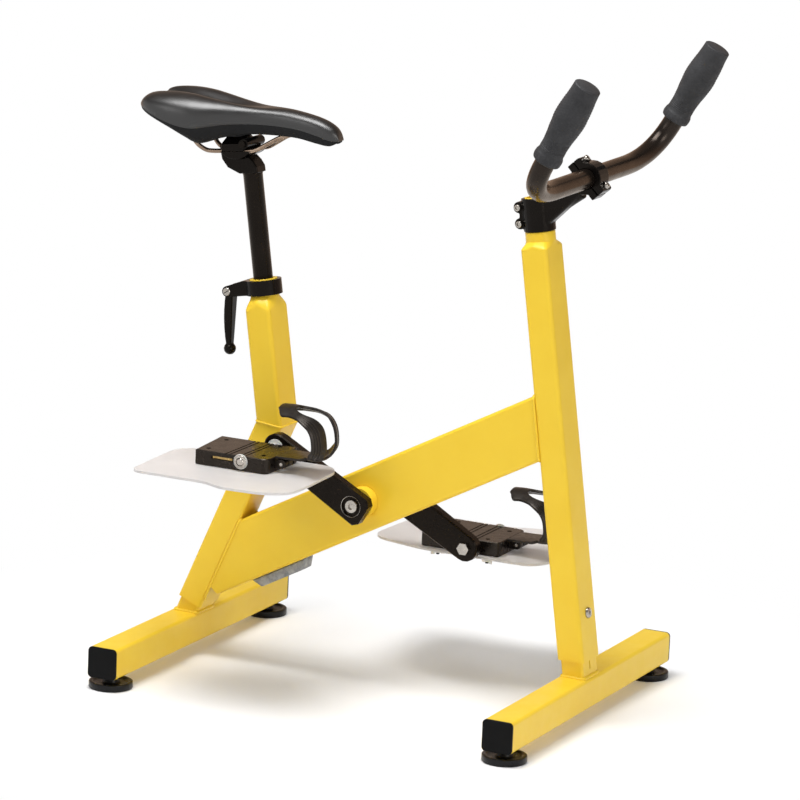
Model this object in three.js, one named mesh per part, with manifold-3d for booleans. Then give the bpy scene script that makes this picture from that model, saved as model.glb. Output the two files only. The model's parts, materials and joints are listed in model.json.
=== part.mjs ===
// Pool exercise bike: an upright bike that stands on the floor of a pool and is pedalled under water.
// Millimetres, +X to the front of the bike, +Y to the rider's left, +Z up.
// The pieces are laid out from the centre of the front base bar, on the floor. The finished model is then
// moved so that its origin is the middle of its bounding box, at floor level.
import * as THREE from "three";
import { mergeVertices } from "three/addons/utils/BufferGeometryUtils.js";
import Module from "manifold-3d";

const wasm = await Module();
wasm.setup();

// Fits, in millimetres
const seatGap = 0.3; // seam between two pieces that are welded, pressed or bolted together
const runningGap = 0.15; // smallest clearance round a piece that turns or slides
const overrun = 30; // how far a cutting shape runs past what it cuts

// Angles, in degrees
const uprightLean = 8.65; // rearward lean of the front post and the seat tube
const legLean = 22.8; // the rear leg runs down and rearward
const beamRise = 28.4;
const crankAngle = 29.5; // the left crank points forward and down by this much
const stemRise = 43;
const gripLean = 28.2; // the grips lean forward
const gripSplay = 2.6; // and outward
const railRise = 5.9; // slope of the saddle rails where they are clamped

// Base bars, their end caps and feet
const barSide = 48.4;
const barEdgeRadius = 7;
const barWall = 2.5;
const barSpacing = 660.2;
const barGroundGap = 19.1; // floor to the underside of a bar
const frontBarSpan = 591; // over its end caps
const rearBarSpan = 569;
const capFlange = 4;
const capPlugDepth = 20;
const capPlugWall = 3;
const capEdgeBevel = 1;
const footRadius = 33.5;
const footThickness = 10.8;
const footRimWidth = 6;
const footDish = 2.4;
const footEdge = 1.6;
const footHubRadius = 12;
const footHubHeight = 15;
const footStemRadius = 5;
const footStemReach = 24; // how far the threaded stem stands up inside the bar
const footInset = 30.7; // bar end to foot centre

// Box tubes of the frame
const tubeDepth = 42.5;
const tubeWidth = 62;
const tubeEdgeRadius = 5.5;
const tubeWall = 3;
const postFootOffset = 10; // where the post's axis would meet the floor, ahead of the front bar
const postBottomHeight = 93;
const postSquareTop = 706;
const postSwageRise = 11;
const postCollarRadius = 22.5;
const postCollarRise = 14;
const postNeckRadius = 19;
const postNeckRise = 51;
const seatTubeSetback = 465.2; // where the seat tube's axis would meet the floor, behind the front bar
const legJointHeight = 384.3; // seat tube and rear leg are mitred together here
const seatSwageRise = 21.5;
const seatNeckRadius = 21.5;
const legLength = 324.6;
const stubReach = 110; // how far a base stub stands up inside the tube that sits on it
const stubWall = 3;
const stubSlotWidth = 3;
const stubSlotFloor = 8; // the slot in the front stub stops this far above the bar
const postBoltHeight = 163;
const postBoltHeadRadius = 7;
const postBoltHeadHeight = 4;
const postBoltRadius = 4;
const postBoltOverhang = 5; // past the two walls that it holds together

// Main beam, the sacrificial anode under it and the bottom bracket
const beamHeight = 93;
const beamEdgeRadius = 6;
const beamChamfer = 26;
const anodeLength = 102;
const anodeFootLength = 80; // its lower face is shorter, because both ends are bevelled
const anodeThickness = 15;
const anodeWidth = 30;
const anodeSetback = 194; // bottom bracket to the anode's middle, along the beam
const bracketSetback = 356.4;
const bracketHeight = 288.6;
const shellRadius = 23.5;
const shellLength = 100;
const shellWall = 6.5;
const bearingWidth = 12;
const bearingInset = 1.5;
const spindleRadius = 8.5;
const spindleSquare = 12;
const spindleSquareLength = 12;

// Cranks
const crankLength = 149.5;
const crankHalfHeight = 24;
const crankTipRadius = 21;
const crankCorner = 8;
const crankOuterReach = 76; // bike's middle plane to a crank's outer face
const crankThickness = 19;
const crankBevel = 2;
const crankWeb = 3; // metal left under the crank bolt's head
const crankRecessRadius = 17;
const crankRecessDepth = 5;
const crankBoltHeadRadius = 10.5;
const crankBoltHeadHeight = 4.4;
const crankBoltRadius = 4.5;

// Pedals. Their own frame has +X forward, +Y outward from the bike and its origin on the pedal axle,
// at the bike's middle plane.
const pedalInnerReach = 88;
const pedalWidth = 100;
const pedalFront = 44;
const pedalRearInner = 86;
const pedalRearOuter = 77;
const pedalTop = 8.5;
const pedalBottom = 14.5;
const pedalCorner = 12;
const pedalBevel = 1.2;
const axleThreadRadius = 7;
const axleRadius = 5;
const axleHexRadius = 10;
const axleHexHeight = 6;
const axleHeadRadius = 6.5;
const axleHeadHeight = 2.5;
const bushWall = 1.3;
const bushInnerFlangeRadius = 13;
const bushOuterFlangeRadius = 11.5;
const bushFlange = 2;
const grooveWidth = 2.6;
const grooveDepth = 1;
const screwHoleRadius = 3.4;
const sideSlotFront = 14;
const sideSlotLength = 36;
const sideSlotHeight = 4.5;
const sideSlotDepth = 5;
const lugReach = 12; // pedal body's front face to the hinge pin
const lugRadius = 7;
const lugWidth = 10;
const lugOuterReach = 165;
const lugPitch = 28;
const lugDrop = 1;
const hingePinRadius = 2.6;
const hingePinOverhang = 2;
const knuckleWidth = 12;

// Paddle plates under the pedals
const plateThickness = 4;
const plateOuterReach = 292;
const plateFront = 124;
const plateInnerReach = 79;
const rightPlateRear = 150;
const leftPlateRear = 181;
const plateCorner = 30;

// Toe cages
const cageCentreReach = 139;
const cageHalfWidth = 43;
const cageSheet = 5;
const cageBulge = 14;
const cageBaseForward = 94;
const cageDepth = 89; // length of the cage from its tab's tip to its front
const cageHeight = 72;
const cageArm = 26;
const cageTabHalfWidth = 24;
const cageTipHalfWidth = 15;
const cageTabDroop = 8; // how far the tab's side edges hang below its middle
const cageFootHalfWidth = 28;
const flangeHalfWidth = 27;
const flangeRear = 46.5;
const flangeSheet = 4;

// Seat clamp and its lever
const collarHeight = 23;
const collarRadius = 27.8;
const collarCentreHeight = 590;
const collarSwageGap = 0.9; // collar to the top of the seat tube's swage
const collarNeckReveal = 1.1; // neck that stands out over the collar
const collarSlot = 2;
const knuckleReach = 56;
const knuckleDrop = 4;
const knuckleRoot = 40;
const cheekRadius = 8.5;
const cheekWidth = 6.5;
const cheekGap = 20.6;
const clampPinRadius = 4;
const leverLength = 91.5;
const leverTopWidth = 20;
const leverTopDepth = 11;
const leverEndWidth = 12;
const leverEndDepth = 8;
const leverBallRadius = 9.7;

// Seat post and the clamp on its head
const seatPostRadius = 15;
const seatPostWall = 2.5;
const seatPostSeam = 764;
const seatPostFoot = 436;
const headLength = 68;
const headHeight = 45;
const headWidth = 30;
const headBevel = 1.5;
const tiltSetback = 19.5; // post seam to the tilt axis, rearward
const tiltRise = 55;
const cradleRadius = 34;
const cradleDepth = 12;
const cradleHalfWidth = 29;
const railRadius = 3.5;
const railHalfSpacing = 22;
const upperClampLength = 34;
const upperClampHeight = 21;
const upperClampOffset = 7;
const clampBarrelRadius = 8;
const clampBarrelForward = 15;
const clampBarrelHeight = 11;
const clampBoltRadius = 3.2;
const clampBoltHeadRadius = 5.2;
const clampBoltHeadHeight = 4;

// Saddle
const saddleLength = 319;
const saddleHalfWidth = 70;
const saddleHeight = 70; // lowest point of the skirt to the top of the wings
const saddleSetback = 434; // front bar to the saddle's nose
const saddleLowest = 808;
const grooveHalfWidth = 19;
const grooveDeep = 14;
const tailNotch = 34;
const tailNotchHalfWidth = 30;
const underArch = 7;
const railLugLength = 18;
const railLugWidth = 14;
const railSocketDepth = 24;

// Stem
const stemArmLength = 106;
const stemArmDrop = 9; // the arm starts this far below the middle of the clamp
const stemClampRadius = 24;
const stemClampHeight = 50;
const stemSlot = 2.4;
const pinchBoltSetback = 25;
const pinchBoltPitch = 24.4;
const pinchLobeRadius = 8.5;
const pinchLobeWidth = 30;
const pinchBoltRadius = 3;
const boltHeadRadius = 5;
const boltHeadHeight = 5;
const armRootWidth = 32;
const armRootHeight = 34;
const armTipWidth = 30;
const armTipHeight = 26;
const armEdgeRadius = 8;
const barClampRadius = 24;
const barClampWidth = 32;
const faceSplit = 1.3;
const faceEar = 12;
const faceHalfHeight = 31;
const faceBoltHalfPitch = 24.5;
const faceBoltDepth = 16;
const faceCorner = 4;

// Handlebar and grips
const handlebarRadius = 15;
const handlebarWall = 3;
const handlebarCorner = 233; // middle plane to where the straight and the grip's axis would meet
const handlebarBend = 105; // length of the bend along the straight
const gripBend = 66; // and along the grip's axis
const gripSetback = 67.9; // from that corner to the grip's lower end
const gripLength = 130;
const gripRadius = 21;
const gripEndWall = 8;

// Counts of sides and steps
const roundSides = 24;
const smallSides = 12;
const smallRadius = 8.5; // round pieces thinner than this have fewer sides
const tubeSides = 16;
const cornerSteps = 4;
const bendSteps = 6;
const barSides = 12;

// Materials, as they look in daylight
const yellowPaint = coat(0xe2bb3e, 0.35, 0.1);
const blackPlastic = coat(0x17181a, 0.38, 0);
const blackSatin = coat(0x222224, 0.5, 0);
const blackMetal = coat(0x1c1a19, 0.25, 0.7);
const rubber = coat(0x26262a, 0.75, 0);
const steel = coat(0xb9b4ac, 0.28, 1);
const zinc = coat(0x8d8f90, 0.6, 0.7);
const bronze = coat(0x8c7a68, 0.3, 0.9);
const paleSheet = coat(0xe8e4e4, 0.42, 0);
const whitePlastic = coat(0xe6e2dc, 0.45, 0);

function coat(color, roughness, metalness) {
  return new THREE.MeshStandardMaterial({ color, roughness, metalness, flatShading: true });
}

// Solids

function radians(degrees) {
  return THREE.MathUtils.degToRad(degrees);
}

function solid(piece) {
  if (piece.subtract) return piece;
  const bare = new THREE.BufferGeometry();
  bare.setAttribute("position", piece.getAttribute("position").clone());
  if (piece.index) bare.setIndex(piece.index.clone());
  const merged = mergeVertices(bare);
  const triangles = new Uint32Array(merged.index.array);
  return new wasm.Manifold(
    new wasm.Mesh({
      numProp: 3,
      vertProperties: new Float32Array(merged.getAttribute("position").array),
      triVerts: triangles,
    }),
  );
}

function geometryOf(piece) {
  if (!piece.getMesh) return piece;
  const found = piece.getMesh();
  const geometry = new THREE.BufferGeometry();
  geometry.setAttribute("position", new THREE.BufferAttribute(new Float32Array(found.vertProperties), 3));
  geometry.setIndex(new THREE.BufferAttribute(new Uint32Array(found.triVerts), 1));
  geometry.computeVertexNormals();
  return geometry;
}

function joined(...pieces) {
  return pieces.map(solid).reduce((whole, piece) => whole.add(piece));
}

function cut(piece, ...tools) {
  return tools.map(solid).reduce((rest, tool) => rest.subtract(tool), solid(piece));
}

// Moves a piece: first the turns about X, Y and Z in degrees, then the shift.
function placed(piece, { x = 0, y = 0, z = 0, turnX = 0, turnY = 0, turnZ = 0 }) {
  const turn = new THREE.Euler(radians(turnX), radians(turnY), radians(turnZ), "XYZ");
  const matrix = new THREE.Matrix4().makeRotationFromEuler(turn).setPosition(x, y, z);
  return geometryOf(piece).clone().applyMatrix4(matrix);
}

function mesh(name, piece, material, place = {}) {
  const made = new THREE.Mesh(geometryOf(piece), material);
  made.name = name;
  made.position.set(place.x ?? 0, place.y ?? 0, place.z ?? 0);
  made.rotation.set(radians(place.turnX ?? 0), radians(place.turnY ?? 0), radians(place.turnZ ?? 0));
  return made;
}

function group(place, ...members) {
  const made = new THREE.Group();
  made.position.set(place.x ?? 0, place.y ?? 0, place.z ?? 0);
  made.rotation.set(radians(place.turnX ?? 0), radians(place.turnY ?? 0), radians(place.turnZ ?? 0));
  made.add(...members);
  return made;
}

function block(length, width, height, place = {}) {
  return placed(new THREE.BoxGeometry(length, width, height), place);
}

function polygon(radius, sides) {
  const corners = Array.from({ length: sides }, (_, side) => {
    const angle = (2 * Math.PI * (side + 1 / 2)) / sides;
    return new THREE.Vector2(radius * Math.cos(angle), radius * Math.sin(angle));
  });
  return new THREE.Shape(corners);
}

function sidesOf(radius) {
  return radius < smallRadius ? smallSides : roundSides;
}

// A round rod along Z, from z = 0 up.
function rod(radius, length, place = {}, sides = sidesOf(radius)) {
  const extruded = new THREE.ExtrudeGeometry(polygon(radius, sides), { depth: length, bevelEnabled: false });
  return placed(extruded, place);
}

// Radius of a many-sided hole whose flats clear a round piece by a gap.
function boreRadius(radius, gap = seatGap, sides = sidesOf(radius)) {
  return (radius + gap) / Math.cos(Math.PI / sides);
}

function hole(radius, length, place = {}, gap = seatGap) {
  return rod(boreRadius(radius, gap), length, place, sidesOf(radius));
}

// A shape in the XZ plane, as thick as it is told along Y, centred on y = 0.
function sidePrism(shape, width, bevel = 0) {
  const options = {
    depth: width - 2 * bevel,
    bevelEnabled: bevel > 0,
    bevelSize: bevel,
    bevelThickness: bevel,
    bevelOffset: -bevel,
    bevelSegments: 1,
    curveSegments: cornerSteps,
  };
  const extruded = new THREE.ExtrudeGeometry(shape, options);
  extruded.translate(0, 0, bevel - width / 2);
  return placed(extruded, { turnX: 90 });
}

// A shape in the XY plane, raised from one height to another.
function floorPrism(shape, bottom, top, bevel = 0) {
  const options = {
    depth: top - bottom - 2 * bevel,
    bevelEnabled: bevel > 0,
    bevelSize: bevel,
    bevelThickness: bevel,
    bevelOffset: -bevel,
    bevelSegments: 1,
    curveSegments: cornerSteps,
  };
  const extruded = new THREE.ExtrudeGeometry(shape, options);
  extruded.translate(0, 0, bottom + bevel);
  return extruded;
}

// An outline through points, each corner rounded by its own reach.
function outline(points, reaches) {
  const shape = new THREE.Shape();
  points.forEach((point, index) => {
    const before = points[(index + points.length - 1) % points.length];
    const after = points[(index + 1) % points.length];
    const wanted = Array.isArray(reaches) ? reaches[index] : reaches;
    const reach = Math.min(wanted, cornerRoomShare * gap(point, before), cornerRoomShare * gap(point, after));
    const entry = stepTowards(point, before, reach);
    const exit = stepTowards(point, after, reach);
    if (index === 0) shape.moveTo(entry.x, entry.y);
    else shape.lineTo(entry.x, entry.y);
    if (reach > 0) shape.quadraticCurveTo(point[0], point[1], exit.x, exit.y);
  });
  shape.closePath();
  return shape;
}

// Two corners of one side never meet.
const cornerRoomShare = 0.48;

function gap(from, to) {
  return Math.hypot(to[0] - from[0], to[1] - from[1]);
}

function stepTowards(from, to, reach) {
  const start = new THREE.Vector2(...from);
  const heading = new THREE.Vector2(...to).sub(start).normalize();
  return start.addScaledVector(heading, reach);
}

// A closed skin through rings of equal count, each anticlockwise when looked at from the last ring.
// Each field between two rings is split along its shorter diagonal, so that facing skins split alike.
function loft(rings) {
  const count = rings[0].length;
  const positions = rings.flat().flatMap((point) => [point.x, point.y, point.z]);
  const index = [];
  for (let ring = 0; ring + 1 < rings.length; ring++) {
    for (let side = 0; side < count; side++) {
      const next = (side + 1) % count;
      const [low, high] = [ring * count, (ring + 1) * count];
      const rising = rings[ring][side].distanceTo(rings[ring + 1][next]);
      const falling = rings[ring][next].distanceTo(rings[ring + 1][side]);
      if (rising < falling) {
        index.push(low + side, low + next, high + next);
        index.push(low + side, high + next, high + side);
      } else {
        index.push(low + side, low + next, high + side);
        index.push(low + next, high + next, high + side);
      }
    }
  }
  const last = (rings.length - 1) * count;
  ringCap(rings[0]).forEach(([first, second, third]) => index.push(third, second, first));
  ringCap(rings.at(-1)).forEach((corners) => index.push(...corners.map((corner) => last + corner)));
  const geometry = new THREE.BufferGeometry();
  geometry.setAttribute("position", new THREE.Float32BufferAttribute(positions, 3));
  geometry.setIndex(index);
  geometry.computeVertexNormals();
  return geometry;
}

// Triangles that close a ring, found in the plane that it lies nearest to.
function ringCap(ring) {
  const normal = new THREE.Vector3();
  ring.forEach((point, side) => normal.add(point.clone().cross(ring[(side + 1) % ring.length])));
  normal.normalize();
  const helper = new THREE.Vector3(0, Math.abs(normal.y) < Math.abs(normal.z) ? 1 : 0, 0);
  if (helper.y === 0) helper.z = 1;
  const across = helper.cross(normal).normalize();
  const upward = normal.clone().cross(across);
  const flat = ring.map((point) => new THREE.Vector2(point.dot(across), point.dot(upward)));
  return THREE.ShapeUtils.triangulateShape(flat, []).map(([first, second, third]) => {
    const turning = THREE.ShapeUtils.area([flat[first], flat[second], flat[third]]);
    return turning > 0 ? [first, second, third] : [third, second, first];
  });
}

// A ring of a box tube: a rectangle with round corners, or a circle where the radius fills it.
function tubeRing(height, halfLength, halfWidth, radius) {
  const ring = [];
  for (let corner = 0; corner < 4; corner++) {
    const middle = (corner + 1 / 2) * (Math.PI / 2);
    const centreX = Math.sign(Math.cos(middle)) * (halfLength - radius);
    const centreY = Math.sign(Math.sin(middle)) * (halfWidth - radius);
    for (let step = 0; step < cornerSteps; step++) {
      const angle = corner * (Math.PI / 2) + ((step + 1 / 2) / cornerSteps) * (Math.PI / 2);
      const x = centreX + radius * Math.cos(angle);
      const y = centreY + radius * Math.sin(angle);
      ring.push(new THREE.Vector3(x, y, height));
    }
  }
  return ring;
}

function boxTube(bottom, top, halfLength, halfWidth, radius) {
  return loft([bottom, top].map((height) => tubeRing(height, halfLength, halfWidth, radius)));
}

function roundRing(height, radius) {
  return tubeRing(height, radius, radius, radius);
}

// A round tube along a curve.
function bentRod(curve, radius, sides, steps) {
  return new THREE.ExtrudeGeometry(polygon(radius, sides), { extrudePath: curve, steps, bevelEnabled: false });
}

// A turned piece about Z, from points of radius and height that begin and end on the axis.
function turned(points) {
  const sides = sidesOf(Math.max(...points.map((point) => point[0])));
  const profile = points.map(([radius, height]) => new THREE.Vector2(radius, height));
  return placed(new THREE.LatheGeometry(profile, sides), { turnX: 90 });
}

// Places along the leaning tubes

const leanCosine = Math.cos(radians(uprightLean));
const leanTangent = Math.tan(radians(uprightLean));

// Distance along a leaning axis, for a height over the floor.
function along(height) {
  return height / leanCosine;
}

const postPlace = { x: postFootOffset, turnY: -uprightLean };
const seatPlace = { x: -seatTubeSetback, turnY: -uprightLean };
const barTop = barGroundGap + barSide;
const legJoint = { x: -seatTubeSetback - leanTangent * legJointHeight, z: legJointHeight };
const legPlace = { x: legJoint.x, z: legJoint.z, turnY: legLean };
const bracketPlace = { x: -bracketSetback, z: bracketHeight };
const beamPlace = { ...bracketPlace, turnY: 90 - beamRise };

// Base: bars, end caps and levelling feet

function baseBar(span) {
  const half = span / 2 - capFlange - seatGap;
  const side = barSide / 2;
  const inner = side - barWall;
  const tube = boxTube(-half, half, side, side, barEdgeRadius);
  const inside = boxTube(-half - overrun, half + overrun, inner, inner, barEdgeRadius - barWall);
  const upright = placed(cut(tube, inside), { turnX: -90, z: barGroundGap + side });
  const footHoles = [1, -1].map((hand) =>
    hole(footStemRadius, overrun, { y: hand * (span / 2 - footInset), z: barGroundGap - overrun / 2 }),
  );
  return cut(upright, ...footHoles);
}

function endCap() {
  const side = barSide / 2;
  const plug = side - barWall - seatGap;
  const flange = loft([
    tubeRing(-capFlange, side - capEdgeBevel, side - capEdgeBevel, barEdgeRadius),
    tubeRing(capEdgeBevel - capFlange, side, side, barEdgeRadius),
    tubeRing(0, side, side, barEdgeRadius),
  ]);
  const insert = boxTube(-capFlange / 2, capPlugDepth, plug, plug, barEdgeRadius - barWall);
  const core = plug - capPlugWall;
  const hollow = boxTube(0, capPlugDepth + overrun, core, core, barEdgeRadius - barWall);
  return cut(joined(flange, insert), hollow);
}

function foot() {
  const rimInner = footRadius - footRimWidth;
  return turned([
    [0, 0],
    [footRadius - footEdge, 0],
    [footRadius, footEdge],
    [footRadius, footThickness - footEdge],
    [footRadius - footEdge, footThickness],
    [rimInner, footThickness],
    [rimInner - footDish, footThickness - footDish],
    [footHubRadius + footDish, footThickness - footDish],
    [footHubRadius, footHubHeight],
    [footStemRadius, footHubHeight],
    [footStemRadius, barGroundGap + footStemReach],
    [0, barGroundGap + footStemReach],
  ]);
}

function base(name, x, span) {
  const parts = [mesh(name + "_base_bar", baseBar(span), yellowPaint)];
  [["left", 1], ["right", -1]].forEach(([sideName, hand]) => {
    const capAt = { y: hand * (span / 2 - capFlange), z: barGroundGap + barSide / 2, turnX: hand * 90 };
    parts.push(mesh(name + "_" + sideName + "_end_cap", endCap(), blackPlastic, capAt));
    const footAt = { y: hand * (span / 2 - footInset) };
    parts.push(mesh(name + "_" + sideName + "_foot", foot(), blackPlastic, footAt));
  });
  return group({ x }, ...parts);
}

// A stub welded on a bar, which the tube above is pushed over.
function baseStub(place, reach) {
  const halfDepth = tubeDepth / 2 - tubeWall - seatGap;
  const halfWidth = tubeWidth / 2 - tubeWall - seatGap;
  const radius = tubeEdgeRadius - seatGap;
  const tube = boxTube(-reach, reach, halfDepth, halfWidth, radius);
  const inner = [halfDepth - stubWall, halfWidth - stubWall, radius - stubWall / 2];
  const leaning = placed(cut(tube, boxTube(-reach - overrun, reach + overrun, ...inner)), place);
  const below = block(barSpacing, barSpacing, barSpacing, { x: place.x, z: barTop + seatGap - barSpacing / 2 });
  return cut(leaning, below);
}

function frontStub() {
  const bottom = along(postBottomHeight);
  const axisAtBottom = { x: postFootOffset - leanTangent * postBottomHeight, z: postBottomHeight };
  const stub = baseStub({ ...axisAtBottom, turnY: -uprightLean }, stubReach);
  const slotTop = bottom + stubReach + overrun;
  const slotBottom = along(barTop + stubSlotFloor);
  const slotHeight = slotTop - slotBottom;
  const slot = block(tubeDepth / 2, stubSlotWidth, slotHeight, { x: tubeDepth / 2, z: slotBottom + slotHeight / 2 });
  return cut(stub, placed(slot, postPlace), postBoltHole());
}

function rearStub() {
  const end = new THREE.Vector3(0, 0, -legLength).applyAxisAngle(new THREE.Vector3(0, 1, 0), radians(legLean));
  return baseStub({ x: legJoint.x + end.x, z: legJoint.z + end.z, turnY: legLean }, stubReach);
}

// Frame tubes

function frontPost() {
  const bottom = along(postBottomHeight) - overrun;
  const squareTop = along(postSquareTop);
  const swageTop = squareTop + postSwageRise;
  const collarTop = swageTop + postCollarRise;
  const neckTop = collarTop + postNeckRise;
  const outer = loft([
    tubeRing(bottom, tubeDepth / 2, tubeWidth / 2, tubeEdgeRadius),
    tubeRing(squareTop, tubeDepth / 2, tubeWidth / 2, tubeEdgeRadius),
    roundRing(swageTop, postCollarRadius),
    roundRing(collarTop, postCollarRadius),
    roundRing(collarTop, postNeckRadius),
    roundRing(neckTop, postNeckRadius),
  ]);
  const inner = loft([
    tubeRing(bottom - overrun, tubeDepth / 2 - tubeWall, tubeWidth / 2 - tubeWall, tubeEdgeRadius - tubeWall / 2),
    tubeRing(squareTop, tubeDepth / 2 - tubeWall, tubeWidth / 2 - tubeWall, tubeEdgeRadius - tubeWall / 2),
    roundRing(swageTop, postNeckRadius - tubeWall),
    roundRing(neckTop + overrun, postNeckRadius - tubeWall),
  ]);
  const below = block(barSpacing, barSpacing, barSpacing, { z: postBottomHeight - barSpacing / 2 });
  return cut(placed(cut(outer, inner), postPlace), below, postBoltHole());
}

function postBoltPlace() {
  const height = along(postBoltHeight);
  return { x: tubeDepth / 2, z: height, turnY: 90 };
}

function postBoltHole() {
  const shank = hole(postBoltRadius, tubeDepth, { z: -tubeDepth / 2 });
  return placed(placed(shank, postBoltPlace()), postPlace);
}

function postBolt() {
  const seat = seatGap;
  const dome = postBoltHeadHeight / 2;
  return turned([
    [0, -tubeWall - stubWall - postBoltOverhang],
    [postBoltRadius, -tubeWall - stubWall - postBoltOverhang],
    [postBoltRadius, seat],
    [postBoltHeadRadius, seat],
    [postBoltHeadRadius, seat + dome],
    [postBoltHeadRadius - dome, seat + postBoltHeadHeight],
    [0, seat + postBoltHeadHeight],
  ]);
}

function mitreBlock(side) {
  const angle = (legLean - uprightLean) / 2;
  const reach = barSpacing / 2;
  const slab = block(barSpacing, barSpacing, barSpacing, { z: side * (reach - seatGap / 2) });
  return placed(slab, { x: legJoint.x, z: legJoint.z, turnY: angle });
}

function seatTube() {
  const bottom = along(legJointHeight) - tubeWidth;
  const collarCentre = along(collarCentreHeight);
  const swageTop = collarCentre - collarHeight / 2 - collarSwageGap;
  const squareTop = swageTop - seatSwageRise;
  const neckTop = collarCentre + collarHeight / 2 + collarNeckReveal;
  const outer = loft([
    tubeRing(bottom, tubeDepth / 2, tubeWidth / 2, tubeEdgeRadius),
    tubeRing(squareTop, tubeDepth / 2, tubeWidth / 2, tubeEdgeRadius),
    roundRing(swageTop, seatNeckRadius),
    roundRing(neckTop, seatNeckRadius),
  ]);
  const inner = loft([
    tubeRing(bottom - overrun, tubeDepth / 2 - tubeWall, tubeWidth / 2 - tubeWall, tubeEdgeRadius - tubeWall / 2),
    tubeRing(squareTop - tubeWall, tubeDepth / 2 - tubeWall, tubeWidth / 2 - tubeWall, tubeEdgeRadius - tubeWall / 2),
    roundRing(swageTop, seatPostRadius - seatGap),
    roundRing(swageTop + tubeWall, seatPostRadius - seatGap),
  ]);
  const reamed = hole(seatPostRadius, neckTop, { z: swageTop - overrun }, runningGap);
  return cut(placed(cut(outer, inner, reamed), seatPlace), mitreBlock(-1));
}

function rearLeg() {
  const half = [tubeDepth / 2, tubeWidth / 2, tubeEdgeRadius];
  const wall = [tubeDepth / 2 - tubeWall, tubeWidth / 2 - tubeWall, tubeEdgeRadius - tubeWall / 2];
  const outer = boxTube(-legLength, tubeWidth, ...half);
  const inner = boxTube(-legLength - overrun, tubeWidth + overrun, ...wall);
  return cut(placed(cut(outer, inner), legPlace), mitreBlock(1));
}

function mainBeam() {
  const reach = barSpacing / 2;
  const outer = boxTube(-reach, reach, beamHeight / 2, tubeWidth / 2, beamEdgeRadius);
  const innerHeight = beamHeight / 2 - tubeWall;
  const innerWidth = tubeWidth / 2 - tubeWall;
  const inner = boxTube(-reach - overrun, reach + overrun, innerHeight, innerWidth, beamEdgeRadius - tubeWall);
  const beam = placed(cut(outer, inner), beamPlace);
  const ahead = block(barSpacing, barSpacing, 2 * barSpacing, { x: reach - tubeDepth / 2 - seatGap });
  const behind = block(barSpacing, barSpacing, 2 * barSpacing, { x: tubeDepth / 2 + seatGap - reach });
  const shellHole = hole(shellRadius, shellLength, { ...bracketPlace, y: shellLength / 2, turnX: 90 });
  return cut(beam, placed(ahead, postPlace), placed(behind, legPlace), shellHole, beamCornerCut());
}

// Takes off the beam's sharp lower corner, where its underside meets the rear leg.
function beamCornerCut() {
  const rise = radians(beamRise);
  const lean = radians(legLean);
  const beamWay = new THREE.Vector2(Math.cos(rise), Math.sin(rise));
  const legWay = new THREE.Vector2(Math.sin(lean), Math.cos(lean));
  const under = new THREE.Vector2(-bracketSetback, bracketHeight);
  under.add(new THREE.Vector2(Math.sin(rise), -Math.cos(rise)).multiplyScalar(beamHeight / 2));
  const face = new THREE.Vector2(legJoint.x, legJoint.z);
  face.add(new THREE.Vector2(Math.cos(lean), -Math.sin(lean)).multiplyScalar(tubeDepth / 2));
  const between = face.clone().sub(under);
  const travel = between.cross(legWay) / beamWay.cross(legWay);
  const corner = under.clone().addScaledVector(beamWay, travel);
  const first = corner.clone().addScaledVector(beamWay, beamChamfer);
  const second = corner.clone().addScaledVector(legWay, beamChamfer);
  const slant = second.clone().sub(first).normalize();
  const away = new THREE.Vector2(slant.y, -slant.x);
  if (away.dot(corner.clone().sub(first)) < 0) away.negate();
  const corners = [
    first.clone().addScaledVector(slant, -overrun),
    second.clone().addScaledVector(slant, overrun),
    second.clone().addScaledVector(slant, overrun).addScaledVector(away, overrun),
    first.clone().addScaledVector(slant, -overrun).addScaledVector(away, overrun),
  ];
  const shape = new THREE.Shape(corners);
  return sidePrism(shape, tubeWidth + overrun);
}

function anodeBlock() {
  const [half, foot] = [anodeLength / 2, anodeFootLength / 2];
  const shape = new THREE.Shape([
    new THREE.Vector2(-half, 0),
    new THREE.Vector2(-foot, -anodeThickness),
    new THREE.Vector2(foot, -anodeThickness),
    new THREE.Vector2(half, 0),
  ]);
  return sidePrism(shape, anodeWidth);
}

function bracketShell() {
  const tube = rod(shellRadius, shellLength, { z: -shellLength / 2 });
  const bore = rod(shellRadius - shellWall, shellLength + overrun, { z: -(shellLength + overrun) / 2 });
  return placed(cut(tube, bore), { turnX: 90 });
}

function bearing() {
  const ring = rod(shellRadius - shellWall - seatGap, bearingWidth);
  return cut(ring, hole(spindleRadius, bearingWidth + overrun, { z: -overrun / 2 }, runningGap));
}

function frameParts() {
  const bearingReach = shellLength / 2 - bearingInset;
  const anodeDrop = beamHeight / 2 + seatGap;
  return [
    mesh("front_post", frontPost(), yellowPaint),
    mesh("main_beam", mainBeam(), yellowPaint),
    mesh("seat_tube", seatTube(), yellowPaint),
    mesh("rear_leg", rearLeg(), yellowPaint),
    mesh("front_base_stub", frontStub(), yellowPaint),
    mesh("rear_base_stub", rearStub(), yellowPaint),
    group(
      bracketPlace,
      mesh("bottom_bracket_shell", bracketShell(), yellowPaint),
      mesh("left_bearing", bearing(), steel, { y: bearingReach, turnX: 90 }),
      mesh("right_bearing", bearing(), steel, { y: -bearingReach, turnX: -90 }),
      group(
        { turnY: -beamRise },
        mesh("anode_block", anodeBlock(), zinc, { x: -anodeSetback, z: -anodeDrop }),
      ),
    ),
    group(postPlace, mesh("front_post_bolt", postBolt(), steel, postBoltPlace())),
  ];
}

// Cranks, spindle and pedal axles. The crank set's own frame has +X along the left crank.

function spindle() {
  const inner = crankOuterReach - crankThickness - seatGap;
  const middle = rod(spindleRadius, 2 * inner, { z: -inner });
  const squareReach = inner + spindleSquareLength;
  const square = block(spindleSquare, spindleSquare, 2 * squareReach);
  return placed(joined(middle, square), { turnX: 90 });
}

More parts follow.
